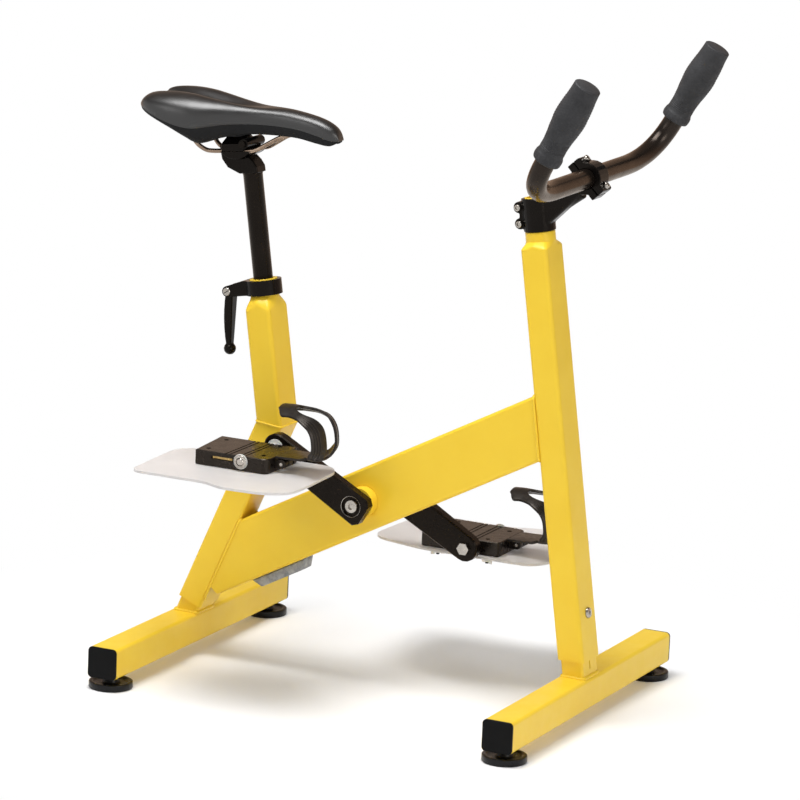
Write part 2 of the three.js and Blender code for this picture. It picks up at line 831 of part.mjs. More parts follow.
// Drawn with its inner face at y = 0.
function crank() {
  const shape = new THREE.Shape();
  shape.moveTo(-crankHalfHeight, crankCorner - crankHalfHeight);
  shape.lineTo(crankCorner - crankHalfHeight, -crankHalfHeight);
  shape.absarc(crankLength, 0, crankTipRadius, -Math.PI / 2, Math.PI / 2, false);
  shape.lineTo(crankCorner - crankHalfHeight, crankHalfHeight);
  shape.lineTo(-crankHalfHeight, crankHalfHeight - crankCorner);
  shape.closePath();
  const arm = placed(sidePrism(shape, crankThickness, crankBevel), { y: crankThickness / 2 });
  const squareDepth = spindleSquareLength + seatGap;
  const socket = block(spindleSquare + 2 * seatGap, 2 * squareDepth, spindleSquare + 2 * seatGap);
  const recess = rod(crankRecessRadius, overrun, { y: crankThickness - crankRecessDepth, turnX: -90 });
  const boltWay = hole(crankBoltRadius, overrun, { turnX: -90 });
  const axleWay = hole(axleThreadRadius, overrun, { x: crankLength, turnX: -90 });
  return cut(arm, socket, recess, boltWay, axleWay);
}

// Head outward along +Z, its underside at z = 0.
function crankBolt() {
  return turned([
    [0, -crankWeb / 2],
    [crankBoltRadius, -crankWeb / 2],
    [crankBoltRadius, 0],
    [crankBoltHeadRadius, 0],
    [crankBoltHeadRadius, crankBoltHeadHeight - crankBevel],
    [crankBoltHeadRadius - crankBevel, crankBoltHeadHeight],
    [0, crankBoltHeadHeight],
  ]);
}

// Along +Z, from the crank's inner face outward. Its hexagon sits behind that face.
function pedalAxle() {
  const crankInner = crankOuterReach - crankThickness;
  const headFoot = pedalInnerReach + pedalWidth + bushFlange + 2 * seatGap;
  const headTop = headFoot + axleHeadHeight;
  const shaft = turned([
    [0, crankInner - axleHexHeight],
    [axleThreadRadius, crankInner - axleHexHeight],
    [axleThreadRadius, crankOuterReach],
    [axleRadius, crankOuterReach],
    [axleRadius, headFoot],
    [axleHeadRadius, headFoot],
    [axleHeadRadius, headTop - crankBevel],
    [axleHeadRadius - crankBevel, headTop],
    [0, headTop],
  ]);
  const hexagon = rod(axleHexRadius, axleHexHeight - seatGap, { z: crankInner - axleHexHeight }, 6);
  return joined(shaft, hexagon);
}

function crankSide(sideName) {
  const innerFace = crankOuterReach - crankThickness;
  const recessFloor = crankOuterReach - crankRecessDepth;
  return [
    mesh(sideName + "_crank", crank(), blackMetal, { y: innerFace }),
    mesh(sideName + "_crank_bolt", crankBolt(), steel, { y: recessFloor + seatGap, turnX: -90 }),
    mesh(sideName + "_pedal_axle", pedalAxle(), steel, { x: crankLength, turnX: -90 }),
  ];
}

// Pedals

function pedalOutline() {
  const outer = pedalInnerReach + pedalWidth;
  const points = [
    [-pedalRearInner, pedalInnerReach],
    [pedalFront, pedalInnerReach],
    [pedalFront, outer],
    [-pedalRearOuter, outer],
  ];
  return outline(points, [0, pedalCorner / 2, pedalCorner, 0]);
}

const screwPlaceShares = [
  [-0.78, 0.2],
  [-0.74, 0.84],
  [0.44, 0.13],
  [0.6, 0.77],
];

function screwPlaces() {
  return screwPlaceShares.map(([forward, across]) => ({
    x: forward < 0 ? forward * pedalRearInner : forward * pedalFront,
    y: pedalInnerReach + across * pedalWidth,
  }));
}

function screwHoles() {
  const depth = pedalTop + pedalBottom + plateThickness + 2 * overrun;
  return screwPlaces().map((place) => hole(screwHoleRadius, depth, { ...place, z: -depth / 2 }));
}

const grooveShares = [-0.3, -0.22, -0.02, 0.06];

function pedalGrooves() {
  return grooveShares.map((share) =>
    block(grooveWidth, 2 * pedalWidth, 2 * grooveDepth, {
      x: share * pedalRearInner,
      y: pedalInnerReach + pedalWidth / 2,
      z: pedalTop,
    }),
  );
}

function hingePlace() {
  return { x: pedalFront + lugReach, z: -lugDrop };
}

function pedalLug(outerReach) {
  const pin = hingePlace();
  const eye = sidePrism(polygon(lugRadius, smallSides), lugWidth);
  const arm = block(lugReach, lugWidth, 2 * lugRadius, { x: -lugReach / 2 });
  return placed(joined(eye, arm), { x: pin.x, y: outerReach - lugWidth / 2, z: pin.z });
}

function pedalBody() {
  const body = floorPrism(pedalOutline(), -pedalBottom, pedalTop, pedalBevel);
  const lugs = [lugOuterReach, lugOuterReach - lugPitch].map(pedalLug);
  const axleBore = hole(axleRadius + bushWall + runningGap, 2 * pedalWidth, { y: pedalInnerReach / 2, turnX: -90 });
  const pinBore = hole(hingePinRadius, pedalWidth, { ...hingePlace(), y: pedalInnerReach, turnX: -90 });
  const slot = block(sideSlotLength, 2 * sideSlotDepth, sideSlotHeight, {
    x: -sideSlotFront - sideSlotLength / 2,
    y: pedalInnerReach + pedalWidth,
  });
  return cut(joined(body, ...lugs), axleBore, pinBore, slot, ...screwHoles(), ...pedalGrooves());
}

// A plain sleeve along +Z with a flange at each end of the pedal.
function pedalBush() {
  const outer = axleRadius + bushWall + runningGap;
  const start = crankOuterReach + 2 * seatGap;
  const flangeFoot = pedalInnerReach + pedalWidth + seatGap;
  const sleeve = turned([
    [0, start],
    [bushInnerFlangeRadius, start],
    [bushInnerFlangeRadius, start + bushFlange],
    [outer, start + bushFlange],
    [outer, flangeFoot],
    [bushOuterFlangeRadius, flangeFoot],
    [bushOuterFlangeRadius, flangeFoot + bushFlange],
    [0, flangeFoot + bushFlange],
  ]);
  return cut(sleeve, hole(axleRadius, 3 * pedalWidth, {}, runningGap));
}

const platePointShares = [
  // forward share of the front or rear length, share of the way from the inner to the outer edge, corner share
  [-0.45, 0.0, 0.5],
  [-1.0, 0.12, 1.1],
  [-0.94, 0.92, 0.7],
  [-0.1, 0.915, 0.6],
  [0.17, 1.0, 0.5],
  [0.72, 0.98, 0.6],
  [0.99, 0.87, 0.6],
  [1.0, 0.62, 0.6],
  [0.95, 0.12, 0.55],
  [0.78, 0.0, 0.5],
];

function paddlePlate(rear) {
  const points = platePointShares.map(([forward, across]) => [
    forward * (forward < 0 ? rear : plateFront),
    plateInnerReach + across * (plateOuterReach - plateInnerReach),
  ]);
  const corners = platePointShares.map((shares) => shares[2] * plateCorner);
  const top = -pedalBottom - seatGap;
  return cut(floorPrism(outline(points, corners), top - plateThickness, top), ...screwHoles());
}

// Toe cages

// Side view of a cage's side edge, as shares of its depth ahead of the tab's tip and of its height.
const cageProfileShares = [
  [0.76, 0.03],
  [0.9, 0.12],
  [0.985, 0.25],
  [0.97, 0.45],
  [0.91, 0.62],
  [0.8, 0.77],
  [0.65, 0.845],
  [0.46, 0.86],
  [0.28, 0.85],
  [0.09, 0.79],
];

function cageCurve() {
  const tail = cageBaseForward - cageProfileShares[0][0] * cageDepth;
  const points = cageProfileShares.map(
    ([forward, up]) => new THREE.Vector3(tail + forward * cageDepth, 0, flangeSheet * 2 + up * cageHeight),
  );
  return new THREE.CatmullRomCurve3(points, false, "centripetal");
}

function blendBetween(value, from, to) {
  return THREE.MathUtils.smoothstep(value, from, to);
}

// Shares of the way along the side curve where the cage changes its width.
const cageFootEndShare = 0.14;
const cageArmEndShare = 0.52;
const cageTabStartShare = 0.84;
const cageWindowShares = [0.13, 0.74];

function cageHalfWidthAt(share) {
  const wide = cageFootHalfWidth + (cageHalfWidth - cageFootHalfWidth) * blendBetween(share, 0, cageFootEndShare);
  const narrow = (cageHalfWidth - cageTabHalfWidth) * blendBetween(share, cageArmEndShare, cageTabStartShare);
  const tip = (cageTabHalfWidth - cageTipHalfWidth) * blendBetween(share, cageTabStartShare, 1) ** 3;
  return wide - narrow - tip;
}

function cageWindowHalfWidthAt(share) {
  const [start, end] = cageWindowShares;
  const way = (share - start) / (end - start);
  const ends = Math.sqrt(Math.max(0, 1 - (2 * way - 1) ** 6));
  const tipped = cageWindowTipShare + (1 - cageWindowTipShare) * ends;
  return (cageHalfWidthAt(share) - cageArm) * tipped;
}

const cageWindowTipShare = 0.35;

// A sheet bent along the cage's curve: full thickness between two offsets from the curve.
function bentSheet(from, to, halfWidthAt, inside, outside, rows, columns) {
  const curve = cageCurve();
  const rings = [];
  for (let row = 0; row <= rows; row++) {
    const share = from + ((to - from) * row) / rows;
    const point = curve.getPointAt(share);
    const heading = curve.getTangentAt(share);
    const outward = new THREE.Vector3(heading.z, 0, -heading.x);
    const halfWidth = halfWidthAt(share);
    const bulge = cageBulge * (1 / 4 + (3 / 4) * blendBetween(share, 0, cageFootEndShare));
    const across = Array.from({ length: columns + 1 }, (_, column) => halfWidth * ((2 * column) / columns - 1));
    const droop = cageTabDroop * blendBetween(share, cageArmEndShare, 1);
    const at = (y, offset) => {
      const lift = bulge * (1 - (y / cageHalfWidth) ** 2) - droop * (y / cageTabHalfWidth) ** 2 + offset;
      return point.clone().addScaledVector(outward, lift).setY(y);
    };
    const outerRow = across.map((y) => at(y, outside));
    const innerRow = across.map((y) => at(y, inside)).reverse();
    rings.push([...innerRow, ...outerRow]);
  }
  return loft(rings);
}

const cageRows = 16;
const cageColumns = 6;

function cageFlange() {
  const pin = hingePlace();
  const low = flangeRear;
  const points = [
    [low, pin.z + lugRadius + 2 * seatGap],
    [cageBaseForward, flangeSheet * 2],
    [cageBaseForward + flangeSheet, flangeSheet * 3],
    [low, pin.z + lugRadius + 2 * seatGap + flangeSheet],
  ];
  return sidePrism(new THREE.Shape(points.map((point) => new THREE.Vector2(...point))), 2 * flangeHalfWidth);
}

function cageKnuckle() {
  const pin = hingePlace();
  const radius = lugRadius - seatGap;
  const eye = sidePrism(polygon(radius, roundSides), knuckleWidth);
  const neck = block(radius, knuckleWidth, lugRadius + flangeSheet, { z: (lugRadius + flangeSheet) / 2 });
  return placed(joined(eye, neck), { x: pin.x, z: pin.z });
}

function toeCage() {
  const sheet = bentSheet(0, 1, cageHalfWidthAt, -cageSheet, 0, cageRows, cageColumns);
  const [start, end] = cageWindowShares;
  const window = bentSheet(start, end, cageWindowHalfWidthAt, -3 * cageSheet, 2 * cageSheet, cageRows / 2, 4);
  const knuckleShift = lugOuterReach - lugWidth / 2 - lugPitch / 2 - cageCentreReach;
  const knuckle = placed(cageKnuckle(), { y: knuckleShift });
  const whole = joined(cut(sheet, window), cageFlange(), knuckle);
  const pin = hingePlace();
  return cut(whole, hole(hingePinRadius, pedalWidth, { ...pin, y: -pedalWidth / 2, turnX: -90 }, runningGap));
}

function hingePin() {
  const reach = lugPitch + lugWidth + 2 * hingePinOverhang;
  return placed(rod(hingePinRadius, reach), { turnX: -90 });
}

function pedal(sideName, plateRear) {
  const pin = hingePlace();
  const pinStart = lugOuterReach - lugPitch - lugWidth - hingePinOverhang;
  return [
    mesh(sideName + "_pedal_body", pedalBody(), blackPlastic),
    mesh(sideName + "_pedal_bush", pedalBush(), whitePlastic, { turnX: -90 }),
    mesh(sideName + "_paddle_plate", paddlePlate(plateRear), paleSheet),
    mesh(sideName + "_toe_cage", toeCage(), blackSatin, { y: cageCentreReach }),
    mesh(sideName + "_toe_cage_pin", hingePin(), steel, { x: pin.x, y: pinStart, z: pin.z }),
  ];
}

function crankSet() {
  const axleX = crankLength * Math.cos(radians(crankAngle));
  const axleZ = -crankLength * Math.sin(radians(crankAngle));
  const leftPedal = group({ x: axleX, z: axleZ }, ...pedal("left", leftPlateRear));
  const rightPedal = group({ x: -axleX, z: -axleZ }, ...pedal("right", rightPlateRear));
  rightPedal.scale.y = -1;
  return group(
    bracketPlace,
    group(
      { turnY: crankAngle },
      mesh("crank_spindle", spindle(), steel),
      ...crankSide("left"),
      group({ turnZ: 180 }, ...crankSide("right")),
    ),
    leftPedal,
    rightPedal,
  );
}

// Seat clamp, drawn round the seat tube's axis

function clampCollar() {
  const ring = rod(collarRadius, collarHeight, { z: -collarHeight / 2 });
  const pinX = -knuckleReach;
  const halfWidth = cheekGap / 2 + cheekWidth;
  const halfHeight = collarHeight / 2;
  const arm = new THREE.Shape([
    new THREE.Vector2(-seatNeckRadius, -halfHeight),
    new THREE.Vector2(-seatNeckRadius, halfHeight),
    new THREE.Vector2(-collarRadius, halfHeight),
    new THREE.Vector2(pinX, cheekRadius - knuckleDrop),
    new THREE.Vector2(pinX, -cheekRadius - knuckleDrop),
    new THREE.Vector2(-collarRadius, -halfHeight),
  ]);
  const cheekEnd = sidePrism(polygon(cheekRadius, smallSides), 2 * halfWidth);
  const whole = joined(ring, sidePrism(arm, 2 * halfWidth), placed(cheekEnd, { x: pinX, z: -knuckleDrop }));
  const fork = block(knuckleReach, cheekGap, 2 * collarHeight, { x: -knuckleRoot - knuckleReach / 2 });
  const slot = block(knuckleReach, collarSlot, 2 * collarHeight, { x: -knuckleReach / 2 });
  const bore = hole(seatNeckRadius, 2 * collarHeight, { z: -collarHeight });
  const pinWay = hole(clampPinRadius, 4 * halfWidth, { x: pinX, y: 2 * halfWidth, z: -knuckleDrop, turnX: 90 });
  return cut(whole, fork, slot, bore, pinWay);
}

function clampPin() {
  const halfWidth = cheekGap / 2 + cheekWidth + seatGap;
  return rod(clampPinRadius, 2 * halfWidth, { y: halfWidth, turnX: 90 });
}

// Hangs straight down from the pin.
function clampLever() {
  const eyeRadius = cheekRadius - seatGap;
  const eye = sidePrism(polygon(eyeRadius, roundSides), leverTopWidth);
  const arm = loft([
    tubeRing(-leverLength, leverEndDepth / 2, leverEndWidth / 2, leverEndDepth / 3),
    tubeRing(-leverLength / 2, (leverTopDepth + leverEndDepth) / 4, (leverTopWidth + leverEndWidth) / 4, leverEndDepth / 3),
    tubeRing(-eyeRadius, leverTopDepth / 2, leverTopWidth / 2, leverEndDepth / 3),
    tubeRing(0, leverTopDepth / 2, leverTopWidth / 2, leverEndDepth / 3),
  ]);
  const ball = placed(new THREE.SphereGeometry(leverBallRadius, smallSides, smallSides / 2), { z: -leverLength });
  const pinWay = hole(clampPinRadius, 2 * leverTopWidth, { y: leverTopWidth, turnX: 90 }, runningGap);
  return cut(joined(eye, arm, ball), pinWay);
}

// Seat post, drawn round the seat tube's axis, with its seam at z = 0

const headPointShares = [
  [-0.228, -0.067],
  [-0.53, 0.1],
  [-0.68, 0.36],
  [-0.757, 0.83],
  [-0.1, 0.83],
  [-0.02, 0.58],
  [0.11, 0.42],
  [0.2, 0.24],
  [0.228, 0.03],
];

function seatPost() {
  const depth = along(seatPostSeam) - along(seatPostFoot);
  const tube = rod(seatPostRadius, depth, { z: -depth });
  const bore = rod(seatPostRadius - seatPostWall, depth, { z: -depth - seatPostWall });
  const corners = headPointShares.map(([forward, up]) => new THREE.Vector2(forward * headLength, up * headHeight));
  const head = sidePrism(new THREE.Shape(corners), headWidth, headBevel);
  const cradleWay = rod(boreRadius(cradleRadius, runningGap, 2 * roundSides), headWidth * 2, {}, 2 * roundSides);
  const seat = placed(cradleWay, { x: -tiltSetback, y: headWidth, z: tiltRise, turnX: 90 });
  return joined(cut(tube, bore), placed(cut(head, seat), { turnY: uprightLean }));
}

// Clamp on the post's head. Its own frame has its origin on the tilt axis and +X along the rails.

const railDrop = cradleRadius - cradleDepth;
const cradleSteps = 10;

function railWays() {
  return [1, -1].map((hand) =>
    hole(railRadius, 2 * headLength, { x: -headLength, y: hand * railHalfSpacing, z: -railDrop, turnY: 90 }),
  );
}

function lowerClamp() {
  const halfAngle = Math.acos(railDrop / cradleRadius);
  const corners = Array.from({ length: cradleSteps + 1 }, (_, step) => {
    const angle = halfAngle * ((2 * step) / cradleSteps - 1);
    return new THREE.Vector2(cradleRadius * Math.sin(angle), -cradleRadius * Math.cos(angle));
  });
  const whole = sidePrism(new THREE.Shape(corners), 2 * cradleHalfWidth);
  const above = block(2 * cradleRadius, 4 * cradleHalfWidth, cradleRadius, { z: cradleRadius / 2 - railDrop - seatGap / 2 });
  return cut(whole, above, ...railWays());
}

function upperClamp() {
  const bottom = -railDrop + seatGap / 2;
  const length = upperClampLength;
  const width = 2 * cradleHalfWidth;
  const rings = [
    tubeRing(bottom, length / 2, width / 2, clampBoltRadius),
    tubeRing(bottom + upperClampHeight / 2, length / 2, width / 2, clampBoltRadius),
    tubeRing(bottom + upperClampHeight, length / 3, width / 3, clampBoltRadius),
  ].map((ring) => ring.map((point) => point.setX(point.x - upperClampOffset)));
  const barrelAt = { x: clampBarrelForward, z: clampBarrelHeight - railDrop };
  const barrel = placed(sidePrism(polygon(clampBarrelRadius, roundSides), width), barrelAt);
  const web = block(clampBarrelForward + upperClampOffset, width, clampBarrelHeight, {
    x: (clampBarrelForward - upperClampOffset) / 2,
    z: bottom + clampBarrelHeight / 2,
  });
  const boltWay = hole(clampBoltRadius, 2 * width, { ...barrelAt, y: width, turnX: 90 });
  return cut(joined(loft(rings), barrel, web), boltWay, ...railWays());
}

// Along Y through the barrel, with a head on the right-hand side.
function saddleClampBolt() {
  const half = cradleHalfWidth;
  return placed(
    turned([
      [0, -half],
      [clampBoltRadius, -half],
      [clampBoltRadius, half + seatGap],
      [clampBoltHeadRadius, half + seatGap],
      [clampBoltHeadRadius, half + seatGap + clampBoltHeadHeight],
      [0, half + seatGap + clampBoltHeadHeight],
    ]),
    { turnX: 90 },
  );
}

// Rails: points along the clamp's own frame, as shares of the saddle's length, half width and height.
const railPointShares = [
  [-0.29, 0.5, 0.6],
  [-0.27, 0.485, 0.47],
  [-0.25, 0.47, 0.34],
  [-0.215, 0.4, 0.13],
  [-0.17, 0.32, 0.01],
  [-0.13, 0.314, 0.0],
  [-0.09, 0.314, 0.0],
  [0.055, 0.314, 0.0],
  [0.082, 0.314, 0.0],
  [0.11, 0.31, 0.02],
  [0.24, 0.22, 0.28],
  [0.285, 0.185, 0.33],
  [0.33, 0.15, 0.38],
];
const railSides = 8;
const railSteps = 26;

function railCurve(hand) {
  const points = railPointShares.map(([forward, across, up]) => {
    const y = across === straightRailShare ? railHalfSpacing : across * saddleHalfWidth;
    return new THREE.Vector3(forward * saddleLength, hand * y, up * saddleHeight - railDrop);
  });
  return new THREE.CatmullRomCurve3(points, false, "centripetal");
}

const straightRailShare = 0.314;

function saddleRail(hand, radius = railRadius) {
  return bentRod(railCurve(hand), radius, railSides, railSteps);
}

// The saddle is drawn in the bike's own frame. Columns of the table, from tail to nose: place along the
// saddle, half width, height of the crown, of the crease between cover and skirt, and of the skirt's edge.
const saddleShares = [
  [0.0, 0.66, 0.82, 0.72, 0.68],
  [0.03, 0.83, 0.94, 0.66, 0.62],
  [0.08, 0.94, 1.01, 0.57, 0.53],
  [0.17, 1.0, 1.03, 0.44, 0.38],
  [0.26, 0.97, 0.99, 0.35, 0.19],
  [0.33, 0.88, 0.93, 0.35, 0.05],
  [0.44, 0.64, 0.87, 0.45, 0.2],
  [0.56, 0.44, 0.83, 0.49, 0.26],
  [0.68, 0.34, 0.8, 0.5, 0.28],
  [0.8, 0.3, 0.73, 0.46, 0.27],
  [0.9, 0.27, 0.6, 0.36, 0.2],
  [0.97, 0.19, 0.44, 0.28, 0.19],
  [1.0, 0.08, 0.35, 0.29, 0.26],
];
const saddleStations = 20;
const crownSteps = 12;
const crownPower = 0.5;
const seamShares = [0.5, 0, -0.5]; // points across the flat seam between the cover and the base

function saddleAt(way) {
  const places = saddleShares.map((row) => row[0]);
  const values = saddleShares.flatMap((row) => row.slice(1));
  const [width, crown, crease, edge] = new THREE.CubicInterpolant(places, values, 4).evaluate(way);
  const height = (share) => saddleLowest + share * saddleHeight;
  const x = -saddleSetback - saddleLength * (1 - way);
  return { x, halfWidth: width * saddleHalfWidth, crown: height(crown), crease: height(crease), edge: height(edge) };
}

// The tail is split: its middle lies further forward than its two wings.
function tailShift(way, y) {
  const middle = Math.max(0, 1 - (y / tailNotchHalfWidth) ** 2);
  const fade = 1 - blendBetween(way, 0, 1 / 4);
  return tailNotch * middle * fade;
}

function saddleRings(ringAt) {
  return Array.from({ length: saddleStations + 1 }, (_, station) => {
    const step = station / saddleStations;
    const way = (1 - Math.cos(Math.PI * step)) / 2;
    const ring = ringAt(saddleAt(way), way);
    return ring.map(([y, z, x]) => new THREE.Vector3(x + tailShift(way, y), y, z));
  });
}

function saddleCover() {
  const rings = saddleRings((station, way) => {
    const depth = grooveDeep * (1 - blendBetween(way, 1 / 3, 3 / 4));
    const points = [];
    for (let step = 0; step <= crownSteps; step++) {
      const angle = (Math.PI * step) / crownSteps;
      const y = station.halfWidth * Math.cos(angle);
      const swell = Math.sin(angle) ** crownPower;
      const groove = Math.min(depth, (station.crown - station.crease) / 2) * Math.exp(-((y / grooveHalfWidth) ** 2));
      const z = station.crease + seatGap / 2 + (station.crown - station.crease) * swell - groove * swell;
      points.push([y, z, station.x]);
    }
    const under = seamShares.map((share) => [-share * station.halfWidth, station.crease + seatGap / 2, station.x]);
    return [...points, ...under];
  });
  return loft(rings);
}

function saddleBase() {
  const rings = saddleRings((station) => {
    const { halfWidth, crease, edge, x } = station;
    const top = crease - seatGap / 2;
    const lip = edge + (top - edge) / 8;
    const arch = Math.min(edge + underArch, (edge + 2 * top) / 3);
    return [
      [halfWidth, top, x],
      ...seamShares.map((share) => [share * halfWidth, top, x]),
      [-halfWidth, top, x],
      [-halfWidth * (1 - 1 / 40), (top + edge) / 2, x],
      [-halfWidth * (1 - 1 / 12), lip, x],
      [-halfWidth * (1 - 1 / 7), edge, x],
      [-halfWidth / 2, arch, x],
      [0, arch, x],
      [halfWidth / 2, arch, x],
      [halfWidth * (1 - 1 / 7), edge, x],
      [halfWidth * (1 - 1 / 12), lip, x],
      [halfWidth * (1 - 1 / 40), (top + edge) / 2, x],
    ];
  });
  const ends = [1, -1].flatMap((hand) => [0, 1].map((share) => [hand, share]));
  const lugs = ends.map(([hand, share]) => railLug(hand, share));
  const sockets = ends.map(([hand, share]) => railSocket(hand, share));
  return cut(joined(loft(rings), ...lugs), ...sockets);
}

// A straight way for one end of a rail, a little deeper than the rail.
function railSocket(hand, share) {
  const curve = railCurve(hand);
  const outward = curve.getTangentAt(share).multiplyScalar(share === 0 ? -1 : 1);
  const turn = new THREE.Quaternion().setFromUnitVectors(new THREE.Vector3(0, 0, 1), outward);
  const way = hole(railRadius, railSocketDepth + 2 * seatGap, { z: -railSocketDepth });
  const end = curve.getPointAt(share);
  return placed(way.applyQuaternion(turn).translate(end.x, end.y, end.z), clampInBike());
}

function railLug(hand, share) {
  const place = placeInBike(railCurve(hand).getPointAt(share));
  const station = saddleAt((place.x + saddleSetback + saddleLength) / saddleLength);
  const bottom = place.z - railRadius - 2 * seatGap;
  const top = (station.edge + station.crease) / 2;
  const height = top - bottom;
  return block(railLugLength, railLugWidth, height, { x: place.x, y: place.y, z: bottom + height / 2 });
}

function tiltPlace() {
  return {
    x: -seatTubeSetback - leanTangent * seatPostSeam - tiltSetback,
    z: seatPostSeam + tiltRise,
  };
}

function clampInBike() {
  return { ...tiltPlace(), turnY: -railRise };
}

function placeInBike(point) {
  const axis = new THREE.Vector3(0, 1, 0);
  const turnedPoint = point.clone().applyAxisAngle(axis, -radians(railRise));
  const tilt = tiltPlace();
  return turnedPoint.add(new THREE.Vector3(tilt.x, 0, tilt.z));
}

function seating() {
  const pin = { x: -knuckleReach, z: along(collarCentreHeight) - knuckleDrop };
  const boltAt = { x: clampBarrelForward, z: clampBarrelHeight - railDrop };
  return [
    group(
      seatPlace,
      mesh("seat_clamp_collar", clampCollar(), blackMetal, { z: along(collarCentreHeight) }),
      mesh("seat_clamp_pin", clampPin(), steel, pin),
      mesh("seat_clamp_lever", clampLever(), blackMetal, { ...pin, turnY: uprightLean }),
      mesh("seat_post", seatPost(), blackMetal, { z: along(seatPostSeam) }),
    ),
    group(
      clampInBike(),
      mesh("lower_rail_clamp", lowerClamp(), blackMetal),
      mesh("upper_rail_clamp", upperClamp(), blackMetal),
      mesh("rail_clamp_bolt", saddleClampBolt(), blackMetal, boltAt),
      mesh("left_saddle_rail", saddleRail(1), bronze),
      mesh("right_saddle_rail", saddleRail(-1), bronze),
    ),
    mesh("saddle_base", saddleBase(), blackSatin),
    mesh("saddle_cover", saddleCover(), blackSatin),
  ];
}

// Stem. Its own frame has its origin where the arm's axis meets the post's, and +Z up the post.

const armTilt = stemRise - uprightLean;

function stemBody() {
  const clamp = rod(stemClampRadius, stemClampHeight, { z: -stemClampHeight / 2 });
  const lobes = [1, -1].map((hand) => {
    const at = { x: -pinchBoltSetback, y: pinchLobeWidth / 2, z: (hand * pinchBoltPitch) / 2, turnX: 90 };
    return rod(pinchLobeRadius, pinchLobeWidth, at);
  });
  const web = block(pinchBoltSetback, pinchLobeWidth, pinchBoltPitch, { x: -pinchBoltSetback / 2 });
  const arm = loft([
    tubeRing(0, armRootHeight / 2, armRootWidth / 2, armEdgeRadius),
    tubeRing(stemArmLength, armTipHeight / 2, armTipWidth / 2, armEdgeRadius),
  ]);
  const front = joined(
    placed(arm, { turnY: 90 }),
    placed(sidePrism(polygon(barClampRadius, roundSides), barClampWidth), { x: stemArmLength }),
    block(faceEar, barClampWidth, 2 * faceHalfHeight, { x: stemArmLength - faceEar / 2 }),
  );
  const beyond = block(stemArmLength, stemArmLength, stemArmLength, { x: stemArmLength * (3 / 2) - faceSplit / 2 });
  const barWay = hole(handlebarRadius, 2 * barClampWidth, { x: stemArmLength, y: barClampWidth, turnX: 90 }, runningGap);
  const armPart = cut(front, beyond, barWay, ...faceBoltWays());
  const neckWay = hole(postNeckRadius, 2 * stemClampHeight, { z: -stemClampHeight }, runningGap);
  const slot = block(2 * pinchBoltSetback, stemSlot, 2 * stemClampHeight, { x: -pinchBoltSetback });
  const pinchWays = [1, -1].map((hand) => {
    const at = { x: -pinchBoltSetback, y: stemClampHeight, z: (hand * pinchBoltPitch) / 2, turnX: 90 };
    return hole(pinchBoltRadius, 2 * stemClampHeight, at);
  });
  const whole = joined(clamp, ...lobes, web, placed(armPart, { z: -stemArmDrop, turnY: -armTilt }));
  return cut(whole, neckWay, slot, ...pinchWays);
}

function faceBoltPlaces() {
  return [faceBoltHalfPitch, -faceBoltHalfPitch].map((z) => ({ z }));
}

function faceBoltWays() {
  return faceBoltPlaces().map((place) =>
    hole(pinchBoltRadius, faceBoltDepth + overrun, { ...place, x: stemArmLength - faceBoltDepth, turnY: 90 }),
  );
}

// Drawn with the bar's axis at x = 0.
function faceplate() {
  const ring = sidePrism(polygon(barClampRadius, roundSides), barClampWidth);
  const ears = outline(
    [
      [0, -faceHalfHeight],
      [faceEar, -faceHalfHeight],
      [faceEar, faceHalfHeight],
      [0, faceHalfHeight],
    ],
    [0, faceCorner, faceCorner, 0],
  );
  const behind = block(stemArmLength, stemArmLength, stemArmLength, { x: faceSplit / 2 - stemArmLength / 2 });
  const barWay = hole(handlebarRadius, 2 * barClampWidth, { y: barClampWidth, turnX: 90 }, runningGap);
  const ways = faceBoltWays().map((way) => placed(way, { x: -stemArmLength }));
  const pockets = faceBoltPlaces().map((place) =>
    hole(boltHeadRadius, overrun, { ...place, x: faceEar, turnY: 90 }),
  );
  return cut(joined(ring, sidePrism(ears, barClampWidth)), behind, barWay, ...ways, ...pockets);
}

// Head outward along +Z, its underside at z = 0.
function socketBolt(reach) {
  return turned([
    [0, -reach],
    [pinchBoltRadius, -reach],
    [pinchBoltRadius, 0],
    [boltHeadRadius, 0],
    [boltHeadRadius, boltHeadHeight],
    [0, boltHeadHeight],
  ]);
}

// Handlebar and grips. Their frame is level, with its origin at the middle of the handlebar.

function gripHeading(hand) {
  const [lean, splay] = [radians(gripLean), radians(gripSplay)];
  return new THREE.Vector3(
    Math.sin(lean) * Math.cos(splay),
    hand * Math.sin(splay),
    Math.cos(lean) * Math.cos(splay),
  );
}

function handlebarPath() {
  const path = new THREE.CurvePath();
  const side = (hand) => {
    const corner = new THREE.Vector3(0, hand * handlebarCorner, 0);
    const inner = new THREE.Vector3(0, hand * (handlebarCorner - handlebarBend), 0);
    const outer = corner.clone().addScaledVector(gripHeading(hand), gripBend);
    const tip = corner.clone().addScaledVector(gripHeading(hand), gripSetback + gripLength - gripEndWall - seatGap);
    return { corner, inner, outer, tip };
  };
  const [left, right] = [side(1), side(-1)];
  path.add(new THREE.LineCurve3(left.tip, left.outer));
  path.add(new THREE.QuadraticBezierCurve3(left.outer, left.corner, left.inner));
  path.add(new THREE.LineCurve3(left.inner, right.inner));
  path.add(new THREE.QuadraticBezierCurve3(right.inner, right.corner, right.outer));
  path.add(new THREE.LineCurve3(right.outer, right.tip));
  return path;
}

